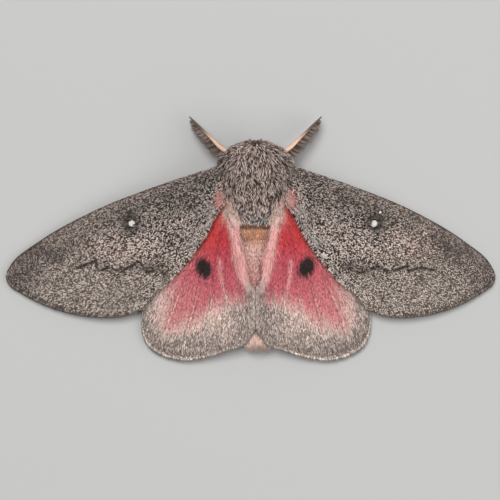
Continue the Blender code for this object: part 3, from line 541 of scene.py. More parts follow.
def thorax_colour(p):
    """Mean colour and contrast of the thorax coat: brown-grey, bluish behind, pale pink at its rear sides."""
    x, y = np.abs(p[..., 0]), p[..., 1]
    colour = mix(THORAX_GREY, BLUE_GREY, 0.5 * fade(y, -5.0, -3.0))
    colour = mix(colour, PINK_TAN, 0.4 * bell(x, y, 0.3, -4.0, 1.0, 0.7))
    colour = mix(colour, BROWN, 0.3 * fade(y, -10.8, -11.8))
    colour = mix(colour, BROWN * 0.9, 0.45 * fade(x, 1.7, 3.1))
    colour = mix(colour, PINK_TAN * 0.8, 0.7 * fade(p[..., 2], 4.6, 3.4))
    pink_from = np.interp(y, PINK_FROM_Y, PINK_FROM_X)
    pink_from = pink_from - 0.35 * np.where(p[..., 0] < 0, bell(x, y, 3.0, -5.2, 1.5, 1.2), 0)
    side = fade(x - pink_from, -0.2, 0.2)
    pale = mix(DUSTY_PINK, mix(BLUSH, CREAM, 0.45), fade(y, -5.6, -4.4))
    # Towards the rear the pale flank is brightened: partly its own paler cream, partly painted light that lifts
    # the shade of the forewing and thorax there
    return mix(colour, pale * (1.1 + 0.45 * fade(y, -4.6, -3.6))[..., None], 0.95 * side), 1.0 - 0.8 * side


def abdomen_colour(p):
    """Colour of the abdomen's coat: an orange-brown first ring with a dark hind edge, then pinkish tan."""
    x, y = np.abs(p[..., 0]), p[..., 1]
    colour = mix(ABDOMEN_TAN, SALMON * 1.45, 0.4 * fade(y, 1.2, 4.0))
    colour = mix(colour, ORANGE_BROWN * 1.25, 0.45 * fade(y, 0.6, 0.0))
    colour = mix(colour, ORANGE_BROWN, 0.9 * fade(y, -0.15, -0.5) * (0.6 + 0.4 * fade(y, -1.7, -1.2)))
    colour = mix(colour, BLUSH, 0.6 * fade(x, 1.35, 2.1) * fade(p[..., 2], 1.6, 2.4))
    hind_edge = np.exp(-(((y + 0.12 + 0.1 * np.sin(p[..., 0] * 2.2)) / 0.09) ** 2))
    colour = mix(colour, UMBER, 0.75 * hind_edge * fade(np.sin(p[..., 0] * 3.4 + 3.4), -0.2, 0.3))
    return mix(colour, CREAM * 0.8, 0.5 * fade(p[..., 2], 1.6, 0.7))


def place(points):
    """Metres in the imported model's frame from the moth's own millimetres."""
    return (np.asarray(points, float).reshape(-1, 3) + MIDLINE) * 0.001


def add_object(name, data):
    """A new object in the scene."""
    made = bpy.data.objects.new(name, data)
    bpy.context.scene.collection.objects.link(made)
    return made


def triangle_mesh(name, points, triangles, colours, material, uv=None):
    """A mesh of triangles from whole arrays, with a colour at each point and a bake map where it has one."""
    points = place(points)
    triangles = np.asarray(triangles, np.int32).reshape(-1, 3)
    mesh = bpy.data.meshes.new(name)
    mesh.vertices.add(len(points))
    mesh.vertices.foreach_set("co", points.astype(np.float32).ravel())
    mesh.loops.add(triangles.size)
    mesh.loops.foreach_set("vertex_index", triangles.ravel())
    mesh.polygons.add(len(triangles))
    mesh.polygons.foreach_set("loop_start", np.arange(0, triangles.size, 3, dtype=np.int32))
    mesh.polygons.foreach_set("use_smooth", np.ones(len(triangles), bool))
    mesh.update(calc_edges=True)
    tint = mesh.color_attributes.new("tint", "FLOAT_COLOR", "POINT")
    rgba = np.ones((len(points), 4), np.float32)
    rgba[:, :3] = np.clip(np.asarray(colours).reshape(-1, 3), 0.0, 1.0)
    tint.data.foreach_set("color", rgba.ravel())
    if uv is not None:
        layer = mesh.uv_layers.new(name="OFBake")
        layer.data.foreach_set("uv", np.asarray(uv, np.float32).reshape(-1, 2)[triangles.ravel()].ravel())
    mesh.materials.append(material)
    mesh.validate()
    return add_object(name, mesh)


def grid_triangles(rows, columns, wrap=False):
    """Two triangles for each cell of a grid of points, by rows. wrap joins the last column to the first."""
    r, c = np.meshgrid(np.arange(rows - 1), np.arange(columns if wrap else columns - 1), indexing="ij")
    d = (c + 1) % columns
    a, b = r * columns + c, r * columns + d
    e, f = (r + 1) * columns + c, (r + 1) * columns + d
    return np.stack([np.stack([a, e, f], -1), np.stack([a, f, b], -1)], 2).reshape(-1, 3)


def new_material(name, **inputs):
    """A material and its shader, with these shader inputs set: an underscore in a name stands for a space."""
    made = bpy.data.materials.new(name)
    made.use_nodes = True
    shader = made.node_tree.nodes["Principled BSDF"]
    for socket, value in inputs.items():
        shader.inputs[socket.replace("_", " ")].default_value = value
    return made, shader


def texture(made, kind, scale, output, **inputs):
    """The output of a texture node over the object's own coordinates."""
    nodes, links = made.node_tree.nodes, made.node_tree.links
    where = nodes.new("ShaderNodeTexCoord")
    pattern = nodes.new(kind)
    pattern.inputs["Scale"].default_value = scale
    for socket, value in inputs.items():
        pattern.inputs[socket].default_value = value
    links.new(where.outputs["Object"], pattern.inputs["Vector"])
    return pattern.outputs[output]


def add_bump(made, height, strength, distance, invert=False):
    """A bump on the material's shader from a texture's output."""
    nodes, links = made.node_tree.nodes, made.node_tree.links
    rough = nodes.new("ShaderNodeBump")
    rough.inputs["Strength"].default_value = strength
    rough.inputs["Distance"].default_value = distance
    rough.invert = invert
    links.new(height, rough.inputs["Height"])
    links.new(rough.outputs["Normal"], nodes["Principled BSDF"].inputs["Normal"])


def tint_material(name, roughness, sheen, speckle, speckle_scale, bump, bump_scale):
    """A matt material in the piece's own colours, times 1 plus or minus a fine speckle, with a fine bump."""
    made, shader = new_material(
        name, Roughness=roughness, Specular_IOR_Level=0.25, Sheen_Weight=sheen, Sheen_Roughness=0.5
    )
    nodes, links = made.node_tree.nodes, made.node_tree.links
    colour = nodes.new("ShaderNodeAttribute")
    colour.attribute_name = "tint"
    spread = nodes.new("ShaderNodeMapRange")
    bounds = {"From Min": 0.3, "From Max": 0.7, "To Min": 1.0 - speckle, "To Max": 1.0 + speckle}
    for socket, value in bounds.items():
        spread.inputs[socket].default_value = value
    links.new(texture(made, "ShaderNodeTexNoise", speckle_scale, "Fac", Detail=3.0), spread.inputs["Value"])
    times = nodes.new("ShaderNodeVectorMath")
    times.operation = "SCALE"
    links.new(colour.outputs["Color"], times.inputs[0])
    links.new(spread.outputs["Result"], times.inputs["Scale"])
    links.new(times.outputs["Vector"], shader.inputs["Base Color"])
    add_bump(made, texture(made, "ShaderNodeTexNoise", bump_scale, "Fac", Detail=2.0), bump, 0.00005)
    return made


def eye_material():
    """A near-black, glossy eye with fine facets and a brown cast."""
    made, shader = new_material("moth_eye", Roughness=0.32, Coat_Weight=0.25)
    nodes, links = made.node_tree.nodes, made.node_tree.links
    facets = texture(made, "ShaderNodeTexVoronoi", 11000.0, "Distance")
    ramp = nodes.new("ShaderNodeValToRGB")
    ramp.color_ramp.elements[0].color = (0.07, 0.035, 0.022, 1)
    ramp.color_ramp.elements[1].color = (0.006, 0.004, 0.004, 1)
    ramp.color_ramp.elements[1].position = 0.8
    links.new(facets, ramp.inputs["Fac"])
    links.new(ramp.outputs["Color"], shader.inputs["Base Color"])
    add_bump(made, facets, 0.35, 0.00001, invert=True)
    return made


def vanes(root, ahead, normal, length, width, rise, colour, uv, tip_shade=1.15, root_shade=0.6):
    """Scales, six triangles each: a kite from root to tip with a raised middle, tilted up by rise at the tip.

    Returns points, triangles, colours and bake map, for joining into one mesh.
    """
    across = unit(np.cross(normal, ahead))
    length, width, rise = (np.broadcast_to(a, root.shape[:1])[:, None] for a in (length, width, rise))
    tip = root + ahead * length + normal * rise
    belly = root + ahead * length * 0.62 + normal * rise * 0.75
    points = np.stack(
        [
            root - normal * 0.03,
            belly - across * width / 2,
            belly + across * width / 2,
            belly + normal * width * 0.22,
            tip,
        ],
        axis=1,
    )
    faces = np.array([(0, 3, 1), (1, 3, 4), (0, 2, 3), (3, 2, 4), (0, 1, 2), (1, 4, 2)])
    triangles = faces[None] + 5 * np.arange(len(root))[:, None, None]
    # Painted light on each scale: its root is darkened by root_shade, painted shade under the scales that lie
    # over it, and its raised middle is a little lighter, a painted highlight
    shade = np.array([root_shade, 0.95, 0.95, 1.05, tip_shade])
    colours = colour[:, None] * shade[None, :, None]
    patch = (np.array([(0.5, 0.0), (0.0, 0.6), (1.0, 0.6), (0.5, 0.6), (0.5, 1.0)]) - 0.5) * BAKE_PATCH
    return points, triangles, colours, uv[:, None] + patch[None]


def hairs(path, normals, width, colours, uv):
    """Bent tufts of hair, ten triangles each: three-sided, through the three points of path, to a point."""
    start, middle, end = path
    n0, n1 = normals
    width = np.broadcast_to(width, start.shape[:1])[:, None]
    side0 = unit(np.cross(n0, middle - start)) * width / 2
    side1 = unit(np.cross(n1, end - start)) * width / 2 * HAIR_TAPER
    points = np.stack(
        [
            start - side0, start + side0, start + n0 * width * 0.4,
            middle - side1, middle + side1, middle + n1 * width * 0.4,
            end,
        ],
        axis=1,
    )
    faces = np.array(
        [
            (0, 2, 1), (0, 3, 5), (0, 5, 2), (2, 5, 4), (2, 4, 1), (1, 4, 3), (1, 3, 0),
            (3, 6, 5), (5, 6, 4), (4, 6, 3),
        ]
    )
    triangles = faces[None] + 7 * np.arange(len(start))[:, None, None]
    c0, c1, c2 = colours
    colour = np.stack([c0, c0, c0, c1, c1, c1, c2], axis=1)
    patch = np.array([(0, 0), (1, 0), (0.5, 0), (0, 0.5), (1, 0.5), (0.5, 0.5), (0.5, 1.0)]) - 0.5
    return points, triangles, colour, uv[:, None] + patch[None] * BAKE_PATCH


def bent(start, whole, normal, middle_lift, end_lift):
    """A hair's three points: its start, half of whole further on and all of whole, the last two lifted off."""
    return start, start + whole * 0.5 + normal * middle_lift, start + whole + normal * end_lift


def joined(*groups):
    """Groups from vanes() and hairs() as one set of arrays."""
    points, triangles, colours, uvs, offset = [], [], [], [], 0
    for p, t, c, uv in groups:
        points.append(p.reshape(-1, 3))
        triangles.append(t.reshape(-1, 3) + offset)
        colours.append(c.reshape(-1, 3))
        uvs.append(uv.reshape(-1, 2))
        offset += p.shape[0] * p.shape[1]
    return np.concatenate(points), np.concatenate(triangles), np.concatenate(colours), np.concatenate(uvs)


def scatter(surface, count, a_span, b_span):
    """Places spread evenly over a surface of (a, b), each with a number from 0 to 1 unlike its neighbours'.

    The three numbers step by fixed fractions of the golden kind, so that few places crowd together, with a
    small random shift. Places are kept in step with the area there.
    """
    k = np.arange(count * 4) + draw.uniform(0, 1000)
    loose = 1.0 / math.sqrt(count)
    a, b = ((k * step + draw.normal(0, loose, len(k))) % 1.0 for step in EVEN_STEPS[:2])
    pick = (k * EVEN_STEPS[2] + draw.normal(0, 0.3, len(k))) % 1.0
    a = a_span[0] + (a_span[1] - a_span[0]) * a
    b = b_span[0] + (b_span[1] - b_span[0]) * b
    _, _, _, _, la, lb = frame_at(surface, a, b)
    area = la * lb
    keep = draw.uniform(0, np.quantile(area, 0.995), len(a)) < area
    return a[keep][:count], b[keep][:count], pick[keep][:count]


def turned(ahead, across, angle):
    """Directions turned by angle in the surface."""
    return ahead * np.cos(angle)[:, None] + across * np.sin(angle)[:, None]


def grain(colour, contrast, pale_share=0.5, pick=None):
    """Each scale's own colour: pale where its pick is under the pale share, else dark, by the contrast."""
    pick = draw.uniform(0, 1, len(colour)) if pick is None else pick
    pale = (pick < pale_share)[:, None]
    c = np.asarray(contrast)[:, None]
    amount = np.where(pale, 1 + 1.75 * c, 1 - 0.88 * c) * np.exp(draw.normal(0, 0.14, (len(colour), 1)))
    warm = 1 + draw.normal(0, 0.04, (len(colour), 1)) * np.array([1.0, 0.0, -1.0])
    grey = np.clip(c - 0.3, 0, 0.6)
    neutral = colour.mean(axis=1, keepdims=True) * (1, 0.99, 0.97)
    tone = mix(colour, neutral, np.where(pale, 0.6 * grey, 0.0)[:, 0])
    own = tone * amount * warm * np.where(pale, (1, 1, 1), 1 + grey * (0.6, 0.0, -0.3))
    return own / np.maximum(own.max(axis=1, keepdims=True) / 0.92, 1.0)


def vein_rise(wing, u, v, across_size):
    """Height of the veins over the membrane: a bell across each vein, from where it begins to the margin."""
    rise = np.zeros(np.shape(u))
    for where, begins in VEINS[wing]:
        ridge = np.exp(-(((v - where) * across_size / VEIN_WIDTH) ** 2))
        rise = np.maximum(rise, ridge * fade(u, begins - 0.03, begins + 0.01) * VEIN_RISE)
    return rise


def wing_skin(wing, side, material):
    """The membrane: the wing's sheet thickened both ways, with its veins raised on both faces."""
    surface = wing_surface(wing, side)
    rows, columns = SKIN_GRID[wing]
    u, v = np.meshgrid(np.linspace(0, MARGIN_SHARE[wing], rows), np.linspace(0, 1, columns), indexing="ij")
    _, _, _, normal, _, across_size = frame_at(surface, np.clip(u, *INSIDE), np.clip(v, *INSIDE))
    p = surface(u, v)
    normal = normal * np.sign(normal[..., 2:])
    rise = vein_rise(wing, u, v, across_size)
    half = MEMBRANE / 2 * fade(np.minimum(v, 1 - v) * across_size, -0.1, 0.5) + 0.02
    top = p + normal * (half + rise)[..., None]
    under = p - normal * (half + rise)[..., None]
    colour_of = forewing_colour if wing == "forewing" else hindwing_colour
    upper, _ = colour_of(side, u, v, p)
    lower, _ = under_colour(u, v)
    count = rows * columns
    cells = grid_triangles(rows, columns)
    rim = np.concatenate(
        [
            np.arange(columns), np.arange(1, rows) * columns + columns - 1,
            (rows - 1) * columns + np.arange(columns - 2, -1, -1), np.arange(rows - 2, 0, -1) * columns,
        ]
    )
    after = np.roll(rim, -1)
    edge = [np.stack([rim, after, after + count], -1), np.stack([rim, after + count, rim + count], -1)]
    triangles = np.concatenate([cells, cells[:, ::-1] + count, *edge])
    if side == "right":
        triangles = triangles[:, ::-1]
    return triangle_mesh(
        f"{wing}_{side}_membrane",
        np.concatenate([top.reshape(-1, 3), under.reshape(-1, 3)]),
        triangles,
        np.concatenate([upper.reshape(-1, 3) * 0.45, lower.reshape(-1, 3)]),
        material,
    )


def wing_frame(wing, surface, u, v):
    """Point, direction to the margin, direction across, upward normal and vein height at u and v."""
    u, v = np.clip(u, *INSIDE), np.clip(v, *INSIDE)
    p, ahead, across, normal, _, across_size = frame_at(surface, u, v)
    return p, ahead, across, normal * np.sign(normal[..., 2:]), vein_rise(wing, u, v, across_size)[..., None]


def lie_along_edges(v, angle):
    """Headings that turn to run along the front and rear edges, so that no scale hangs over them."""
    near = np.maximum(fade(v, 0.05, 0.015), fade(v, 0.95, 0.985))
    inwards = np.where(v < 0.5, 0.1, -0.1)
    return angle * (1 - near) + (inwards + 0.1 * np.clip(angle, -1, 1)) * near


def forewing_scales(side, material):
    """Scales over both faces of a forewing and a short fringe round its outer and rear edges."""
    surface = wing_surface("forewing", side)
    last = MARGIN_SHARE["forewing"]
    groups = []
    for count, long, wide, spread, rise, share, part, step in [
        (6300, 0.5, 0.24, 0.3, 0.03, 0.3, 0.7, 0.0),
        (20500, 0.32, 0.108, 0.85, 0.09, 0.53, 1.05, 0.03),
    ]:
        u, v, pick = scatter(surface, count, (0.0, last - 0.012), (0.004, 0.996))
        p, ahead, across, normal, vein = wing_frame("forewing", surface, u, v)
        far = np.hypot(np.abs(p[:, 0]) - DOT[side][0], p[:, 1] - DOT[side][1]) > DOT_CLEAR
        u, v, pick, p, ahead = u[far], v[far], pick[far], p[far], ahead[far]
        across, normal, vein = across[far], normal[far], vein[far]
        outer = fade(u, 0.5, 0.75)
        angle = draw.normal(0, spread, len(u)) * (0.65 + 0.35 * outer) + 0.5 * swirl(p, 1.6)
        lie = turned(ahead, across, lie_along_edges(v, angle))
        size = draw.uniform(0.8, 1.2, len(u)) * (1.05 - 0.25 * outer)
        colour, contrast = forewing_colour(side, u, v, p + lie * (long * size / 2)[:, None])
        edge = fade(np.minimum(v, 1 - v), 0.004, 0.04)
        tilt = rise * draw.uniform(0.2, 1, len(u)) * edge
        own = grain(colour, contrast * part, share, pick)
        root = p + normal * (MEMBRANE / 2 + step + vein)
        width = wide * size * (0.7 + 0.3 * edge)
        groups.append(vanes(root, lie, normal, long * size, width, tilt, own, np.stack([u, v], -1)))
    groups += [line_scales(surface, side), root_hairs(surface), rear_fringe(side, surface)]
    groups.append(white_dot(surface, side, DOT[side], DOT_RADIUS))
    if side == "right":
        groups.append(white_dot(surface, side, SMALL_DOT, SMALL_DOT_RADIUS))
    groups += [under_scales("forewing", surface, 2000, 0.75, 0.38), fringe("forewing", surface)]
    return coat(f"forewing_{side}_scales", groups, material)


def under_scales(wing, surface, count, length, width):
    """Broad scales on a wing's underside, lying towards the margin and along the edges."""
    u, v, _ = scatter(surface, count, (0.0, MARGIN_SHARE[wing] - 0.015), (0.006, 0.994))
    p, ahead, across, normal, vein = wing_frame(wing, surface, u, v)
    lie = turned(ahead, across, lie_along_edges(v, draw.normal(0, 0.3, len(u))))
    own = grain(*under_colour(u, v))
    root = p - normal * (MEMBRANE / 2 + vein)
    return vanes(root, lie, -normal, length, width, 0.04, own, np.stack([u, v], -1))


def root_hairs(surface):
    """Pale hairs that lie along the forewing's rear edge near its root, thinning out along the edge."""
    count = 300
    u = 0.02 + 0.4 * draw.uniform(0, 1, count) ** 1.4
    v = np.clip(1 - np.abs(draw.normal(0, 0.15, count)) - 0.02, 0.5, 1)
    p, ahead, across, normal, vein = wing_frame("forewing", surface, u, v)
    out = turned(ahead, across, draw.normal(0.05, 0.22, count) * -np.sign(surface(0.5, 0.5)[..., 0]))
    length = draw.uniform(0.7, 1.5, count)[:, None]
    start = p + normal * (MEMBRANE / 2 + vein)
    lifts = draw.uniform(0.08, 0.2, (count, 1)), draw.uniform(0.02, 0.16, (count, 1))
    pale = mix(FOREWING_TERMINAL * 1.5, WHITE * 0.85, draw.uniform(0, 1, count))
    colour = np.where(draw.uniform(0, 1, (count, 1)) < 0.75, pale, BROWN * 0.5)
    pink = 1.6 * bell(np.abs(p[:, 0]), p[:, 1], 3.9, -4.9, 0.5, 1.0)
    colour = mix(colour, DUSTY_PINK * 1.4, np.clip(pink, 0, 1))
    own = colour * 0.7, colour, colour
    path = bent(start, out * length, normal, *lifts)
    return hairs(path, (normal, normal), 0.055, own, np.stack([u, v], -1))


def rear_fringe(side, surface):
    """Short hairs that stand out backwards from the forewing's rear edge, longer on the right wing."""
    count = 520
    u = draw.uniform(0.03, 0.8, count)
    v = np.full(count, 0.99)
    p, ahead, across, normal, _ = wing_frame("forewing", surface, u, v)
    rearwards = np.einsum("ij,ij->i", across, surface(u, v) - surface(u, v - 0.02))
    across = across * np.sign(rearwards)[:, None]
    out = unit(across + ahead * draw.uniform(0.3, 1.4, (count, 1)))
    length = draw.uniform(0.25, 0.5, (count, 1)) * (1.0 if side == "left" else 1.35)
    start = p + normal * draw.uniform(-0.05, 0.1, (count, 1))
    path = bent(start, out * length, normal, 0.02, -0.06)
    colour, contrast = forewing_colour(side, u, v - 0.03, p)
    own = grain(colour, contrast, 0.55)
    return hairs(path, (normal, normal), 0.1, (own * 0.7, own, own), np.stack([u, v], -1))


def white_dot(surface, side, centre, radius):
    """A round patch of upright white scales at centre, in the rows of a sunflower head."""
    count = max(int(380 * radius), 30)
    k = np.arange(count) + 0.5
    r, turn = radius * np.sqrt(k / count), k * SUNFLOWER_TURN
    x, y = centre[0] + r * np.cos(turn), centre[1] + r * np.sin(turn)
    height = wing_height("forewing", x, y, 0.5) + MEMBRANE / 2
    u, v = share_of_place(surface, SIDES[side] * centre[0], centre[1])
    _, ahead, across, normal, _ = wing_frame("forewing", surface, np.full(count, u), np.full(count, v))
    p = np.stack([SIDES[side] * x, y, height], -1)
    lie = turned(ahead, across, draw.normal(0, 0.5, count))
    colour = rows_of(WHITE, count) * draw.uniform(0.85, 1.0, (count, 1))
    uv = np.stack([u + 0.004 * np.cos(turn) * r, v + 0.004 * np.sin(turn) * r], -1)
    return vanes(p + normal * 0.06, lie, normal, 0.16, 0.11, 0.08, colour, uv, tip_shade=1.0)


def line_scales(surface, side):
    """Narrow dark scales end to end along the wavering line across the wing, with short breaks."""
    line = np.array(LINE[side], float)
    steps = np.linalg.norm(np.diff(line, axis=0), axis=1)
    t = draw.uniform(0, 1, int(steps.sum() * LINE_SCALES))
    knots = np.concatenate([[0.0], np.cumsum(steps)]) / steps.sum()
    here, beyond = (np.stack([np.interp(s, knots, line[:, k]) for k in (0, 1)], -1) for s in (t, t + 0.01))
    ahead = beyond - here
    kept = (np.sin(t * 47.0) + 0.5 * np.sin(t * 113.0) > -0.5) & (np.linalg.norm(ahead, axis=1) > 1e-6)
    here, ahead = here[kept] + draw.normal(0, 0.05, (kept.sum(), 2)), unit(ahead[kept])
    x, y = here[:, 0], here[:, 1]
    floor = wing_height("forewing", x, y, 0.5)
    p = np.stack([SIDES[side] * x, y, floor + MEMBRANE / 2 + 0.11], -1)
    turn = draw.normal(0, 0.5, len(x))
    lie_x = ahead[:, 0] * np.cos(turn) - ahead[:, 1] * np.sin(turn)
    lie_y = ahead[:, 0] * np.sin(turn) + ahead[:, 1] * np.cos(turn)
    fall = wing_height("forewing", x + 0.3 * lie_x, y + 0.3 * lie_y, 0.5) - floor
    lie = unit(np.stack([SIDES[side] * lie_x, lie_y, fall / 0.3], -1))
    colour = rows_of(UMBER * 0.62, len(x)) * draw.uniform(0.6, 1.3, (len(x), 1))
    u, v = share_of_place(surface, SIDES[side] * x.mean(), y.mean())
    uv = np.stack([u + 0.02 * (y - y.mean()), v + 0.02 * (x - x.mean())], -1)
    return vanes(p, lie, rows_of(UP, len(x)), 0.26, 0.1, 0.03, colour, uv, tip_shade=1.0)


def share_of_place(surface, x, y):
    """The shares u and v of the wing's point nearest to a place, from a fine grid of points."""
    u, v = np.meshgrid(np.linspace(0.01, 0.99, 200), np.linspace(0.01, 0.99, 200), indexing="ij")
    p = surface(u, v)
    k = np.argmin((p[..., 0] - x) ** 2 + (p[..., 1] - y) ** 2)
    return float(u.ravel()[k]), float(v.ravel()[k])


def fringe(wing, surface):
    """Short hairs that stand out from the outer edge in the plane of the wing, in small bunches."""
    count = 1500 if wing == "forewing" else 2200
    last = MARGIN_SHARE[wing]
    v = draw.uniform(0.012 if wing == "forewing" else 0.0, 1.0, count)
    u = np.full(count, last - 0.006)
    p, ahead, across, normal, _ = wing_frame(wing, surface, u, v)
    reach = np.linalg.norm(surface(np.ones(count), v) - surface(u, v), axis=-1)
    bunch = np.abs(np.cos(math.pi * (v * 54 + 0.5 * np.sin(v * 37) + 0.35 * np.sin(v * 91 + 1))))
    out = turned(ahead, across, draw.normal(0, 0.12, count))
    level = draw.uniform(-0.05, 0.09, (count, 1))
    start = p - ahead * 0.2 + normal * level
    deep = 0.05 if wing == "forewing" else 0.16
    length = ((reach + 0.2) * (draw.uniform(0.9, 0.99, count) - deep * (1 - bunch)))[:, None]
    path = bent(start, out * length, normal, 0.01, -0.02)
    if wing == "forewing":
        tip = mix(UMBER[None] * 1.6, FOREWING_TERMINAL[None] * 1.3, (draw.uniform(0, 1, count) < 0.5) * 0.9)
        dark, pale = tip * 0.55, tip
    else:
        tip = mix(mix(CREAM, WHITE, 0.35)[None], UMBER[None] * 4, (draw.uniform(0, 1, count) < 0.2) * 0.6)
        # Painted shadow: the fringe is darker in the gaps between its bunches
        tip = tip * ((0.45 + 0.7 * bunch) * (0.86 + 0.2 * np.sin(v * 71 + 2 * np.sin(v * 29))))[:, None]
        dark, pale = tip * 0.7, tip * 1.15
    return hairs(path, (normal, normal), 0.11, (dark, tip, pale), np.stack([u, v], -1))


def coat(name, groups, material):
    """One coat piece from its groups of scales and hairs."""
    points, triangles, colours, uv = joined(*groups)
    return triangle_mesh(name, points, triangles, colours, material, uv)


def hindwing_scales(side, material):
    """Narrow silky scales along the veins on the upper face, broad ones below, a fringe and pale hairs."""
    surface = wing_surface("hindwing", side)
    last = MARGIN_SHARE["hindwing"]
    groups = []
    for count, long, wide, depth, share in [(6500, 0.85, 0.2, 0.0, 0.4), (12500, 1.15, 0.085, 0.035, 0.5)]:
        u, v, pick = scatter(surface, count, (0.0, last - 0.006), (0.004, 0.996))
        p, ahead, across, normal, vein = wing_frame("hindwing", surface, u, v)
        _, contrast = hindwing_colour(side, u, v, p)
        rough = fade(contrast, 0.1, 0.34)
        lie = turned(ahead, across, lie_along_edges(v, draw.normal(0, 0.06 + 0.12 * rough)))
        length = long * draw.uniform(0.75, 1.2, len(u)) * (1 - 0.15 * rough)
        length = np.minimum(length, 0.06 + (last - u) * 17)
        colour, contrast = hindwing_colour(side, u, v, p + lie * (length / 2)[:, None])
        rise = (0.01 + 0.07 * rough) * draw.uniform(0, 1, len(u))
        own = grain(colour, contrast, share, pick)
        root = p + normal * (MEMBRANE / 2 + 0.01 + depth + vein)
        uv = np.stack([u, v], -1)
        groups.append(vanes(root, lie, normal, length, wide, rise, own, uv, tip_shade=1.08, root_shade=0.88))
    groups += [under_scales("hindwing", surface, 3200, 0.7, 0.34), inner_edge_hairs(side)]
    groups += [closing_hairs(side), root_filling(surface), fringe("hindwing", surface)]
    return coat(f"hindwing_{side}_scales", groups, material)


def inner_edge_hairs(side):
    """Long fine hairs back along the wing's inner edge: each follows the strip's line at its own offset."""
    count = 2200
    line = np.array(STRIP[side])
    t = draw.uniform(0.0, 0.95, count)
    offset = draw.normal(0.0, 0.27, count) * (1 - 0.5 * fade(t, 0.5, 0.95) - 0.38 * fade(t, 0.6, 0.45))
    reach = draw.uniform(0.13, 0.25, count)
    turn = draw.normal(-0.03, 0.17, count) * np.where(np.arange(count) % 7 == 0, 1.8, 0.8) + 0.3 * offset
    places = []
    for share, lift in ((0.0, 0.03), (0.5, 0.15), (1.0, 0.09)):
        at = np.clip(t + share * reach, 0, 1)
        here = along(line, at)
        ahead = unit(along(line, np.clip(at + 0.02, 0, 1)) - along(line, np.clip(at - 0.02, 0, 1)))
        across = np.stack([-ahead[:, 1], ahead[:, 0]], -1)
        beyond = np.maximum(t + share * reach - 1, 0) * 10
        flat = here + across * (offset + turn * share * 1.6)[:, None] + ahead * beyond[:, None]
        edge = np.interp(flat[:, 1], REAR["hindwing"][:, 1], REAR["hindwing"][:, 0])
        flat[:, 0] = np.maximum(flat[:, 0], edge + 0.04 if share == 0 else 0.05)
        height = wing_height("hindwing", flat[:, 0], flat[:, 1], 0.5) + MEMBRANE / 2
        rise = lift * draw.uniform(0.4, 1.2, count) - 0.45 * np.maximum(edge - flat[:, 0], 0)
        places.append(np.stack([SIDES[side] * flat[:, 0], flat[:, 1], height + rise], -1))
    kind = draw.uniform(0, 1, (count, 1))
    pink = mix(SALMON[None] * 1.15, BLUSH[None], 0.55)
    colour = np.where(kind < 0.28, SALMON * 1.1, np.where(kind < 0.85, pink, BLUSH))
    colour = mix(colour, CREAM[None], 0.55 * fade(t, 0.3, 0.08))
    colour = mix(colour, HINDWING_BAND[None] * 1.1, fade(t, 0.72, 0.95) * 0.8)
    up = rows_of(UP, count)
    u, v = 0.05 + 0.6 * t, np.clip(0.93 + 0.05 * offset, 0.8, 0.99)
    colour = colour * draw.uniform(0.84, 1.2, (count, 1))
    return hairs(places, (up, up), 0.055, (colour * 0.85, colour, colour * 1.15), np.stack([u, v], -1))


def root_filling(surface):
    """Hair that stands up from the hindwing's root and fills the space under the forewing."""
    count = 420
    u, v = 0.02 + 0.36 * draw.uniform(0, 1, count) ** 1.2, draw.uniform(0.02, 0.2, count)
    p, ahead, _, normal, vein = wing_frame("hindwing", surface, u, v)
    start = p + normal * (MEMBRANE / 2 + vein)
    reach = draw.uniform(0.3, 0.8, (count, 1))
    stand = (FOREWING_LIFT - MEMBRANE - 0.12) * draw.uniform(0.7, 1.0, (count, 1))
    stand = stand * np.clip(0.4 + 2.2 * u[:, None], 0, 1)
    middle = start + ahead * reach * 0.35 + normal * stand * 0.65
    end = start + ahead * reach + normal * stand
    colour = mix(DUSTY_PINK * 0.8, BROWN, draw.uniform(0, 0.7, count))
    own = colour * 0.8, colour, colour
    return hairs((start, middle, end), (ahead, ahead), 0.12, own, np.stack([u, v], -1))


def closing_hairs(side):
    """Grey hairs that lean inwards and back from the hindwing's inner edge, so that the two edges meet."""
    count = 620
    y = draw.uniform(5.3, 9.9, count)
    x = draw.uniform(0.18, 0.5, count)
    length = draw.uniform(0.6, 1.1, count)
    end_x = np.maximum(x - length * draw.uniform(0.2, 0.6, count), draw.uniform(-0.16, 0.1, count))
    places = []
    for share, lift in ((0.0, 0.02), (0.5, 0.09), (1.0, 0.02)):
        here = x + (end_x - x) * share
        back = y + length * share * 0.85
        floor = wing_height("hindwing", here, back, 0.5) + MEMBRANE / 2
        rise = lift * draw.uniform(0.5, 1.2, count)
        places.append(np.stack([SIDES[side] * here, back, floor + rise], -1))
    colour = grain(rows_of(HINDWING_BAND * 0.75, count), np.full(count, 0.4))
    up = rows_of(UP, count)
    uv = np.stack([0.4 + 0.05 * (y - 4), np.full(count, 0.985)], -1)
    return hairs(places, (up, up), 0.08, (colour * 0.8, colour, colour), uv)


def closed_surface(surface, a, columns, ends=None):
    """Points and triangles of a closed mesh from a surface of (a, b) that goes round in even steps of b."""
    aa, bb = np.meshgrid(a, np.arange(columns) * 2 * math.pi / columns, indexing="ij")
    return closed_rings(surface(aa, bb), ends)


def closed_rings(p, ends=None):
    """Points and triangles of a closed mesh from rings of points, with a point at each end.

    Each end point is the middle of its ring, where none is given. The triangles turn over where the volume
    that they close comes out negative.
    """
    rows, columns = p.shape[:2]
    ends = [p[0].mean(0), p[-1].mean(0)] if ends is None else ends
    points = np.concatenate([p.reshape(-1, 3), ends])
    ring = np.arange(columns)
    after = (ring + 1) % columns
    last = (rows - 1) * columns
    first_cap = np.stack([np.full(columns, last + columns), ring, after], -1)
    last_cap = np.stack([np.full(columns, last + columns + 1), after + last, ring + last], -1)
    triangles = np.concatenate([grid_triangles(rows, columns, wrap=True), first_cap, last_cap])
    corners = points[triangles]
    volume = np.einsum("ij,ij->i", corners[:, 0], np.cross(corners[:, 1], corners[:, 2])).sum()
    return points, triangles[:, ::-1] if volume < 0 else triangles


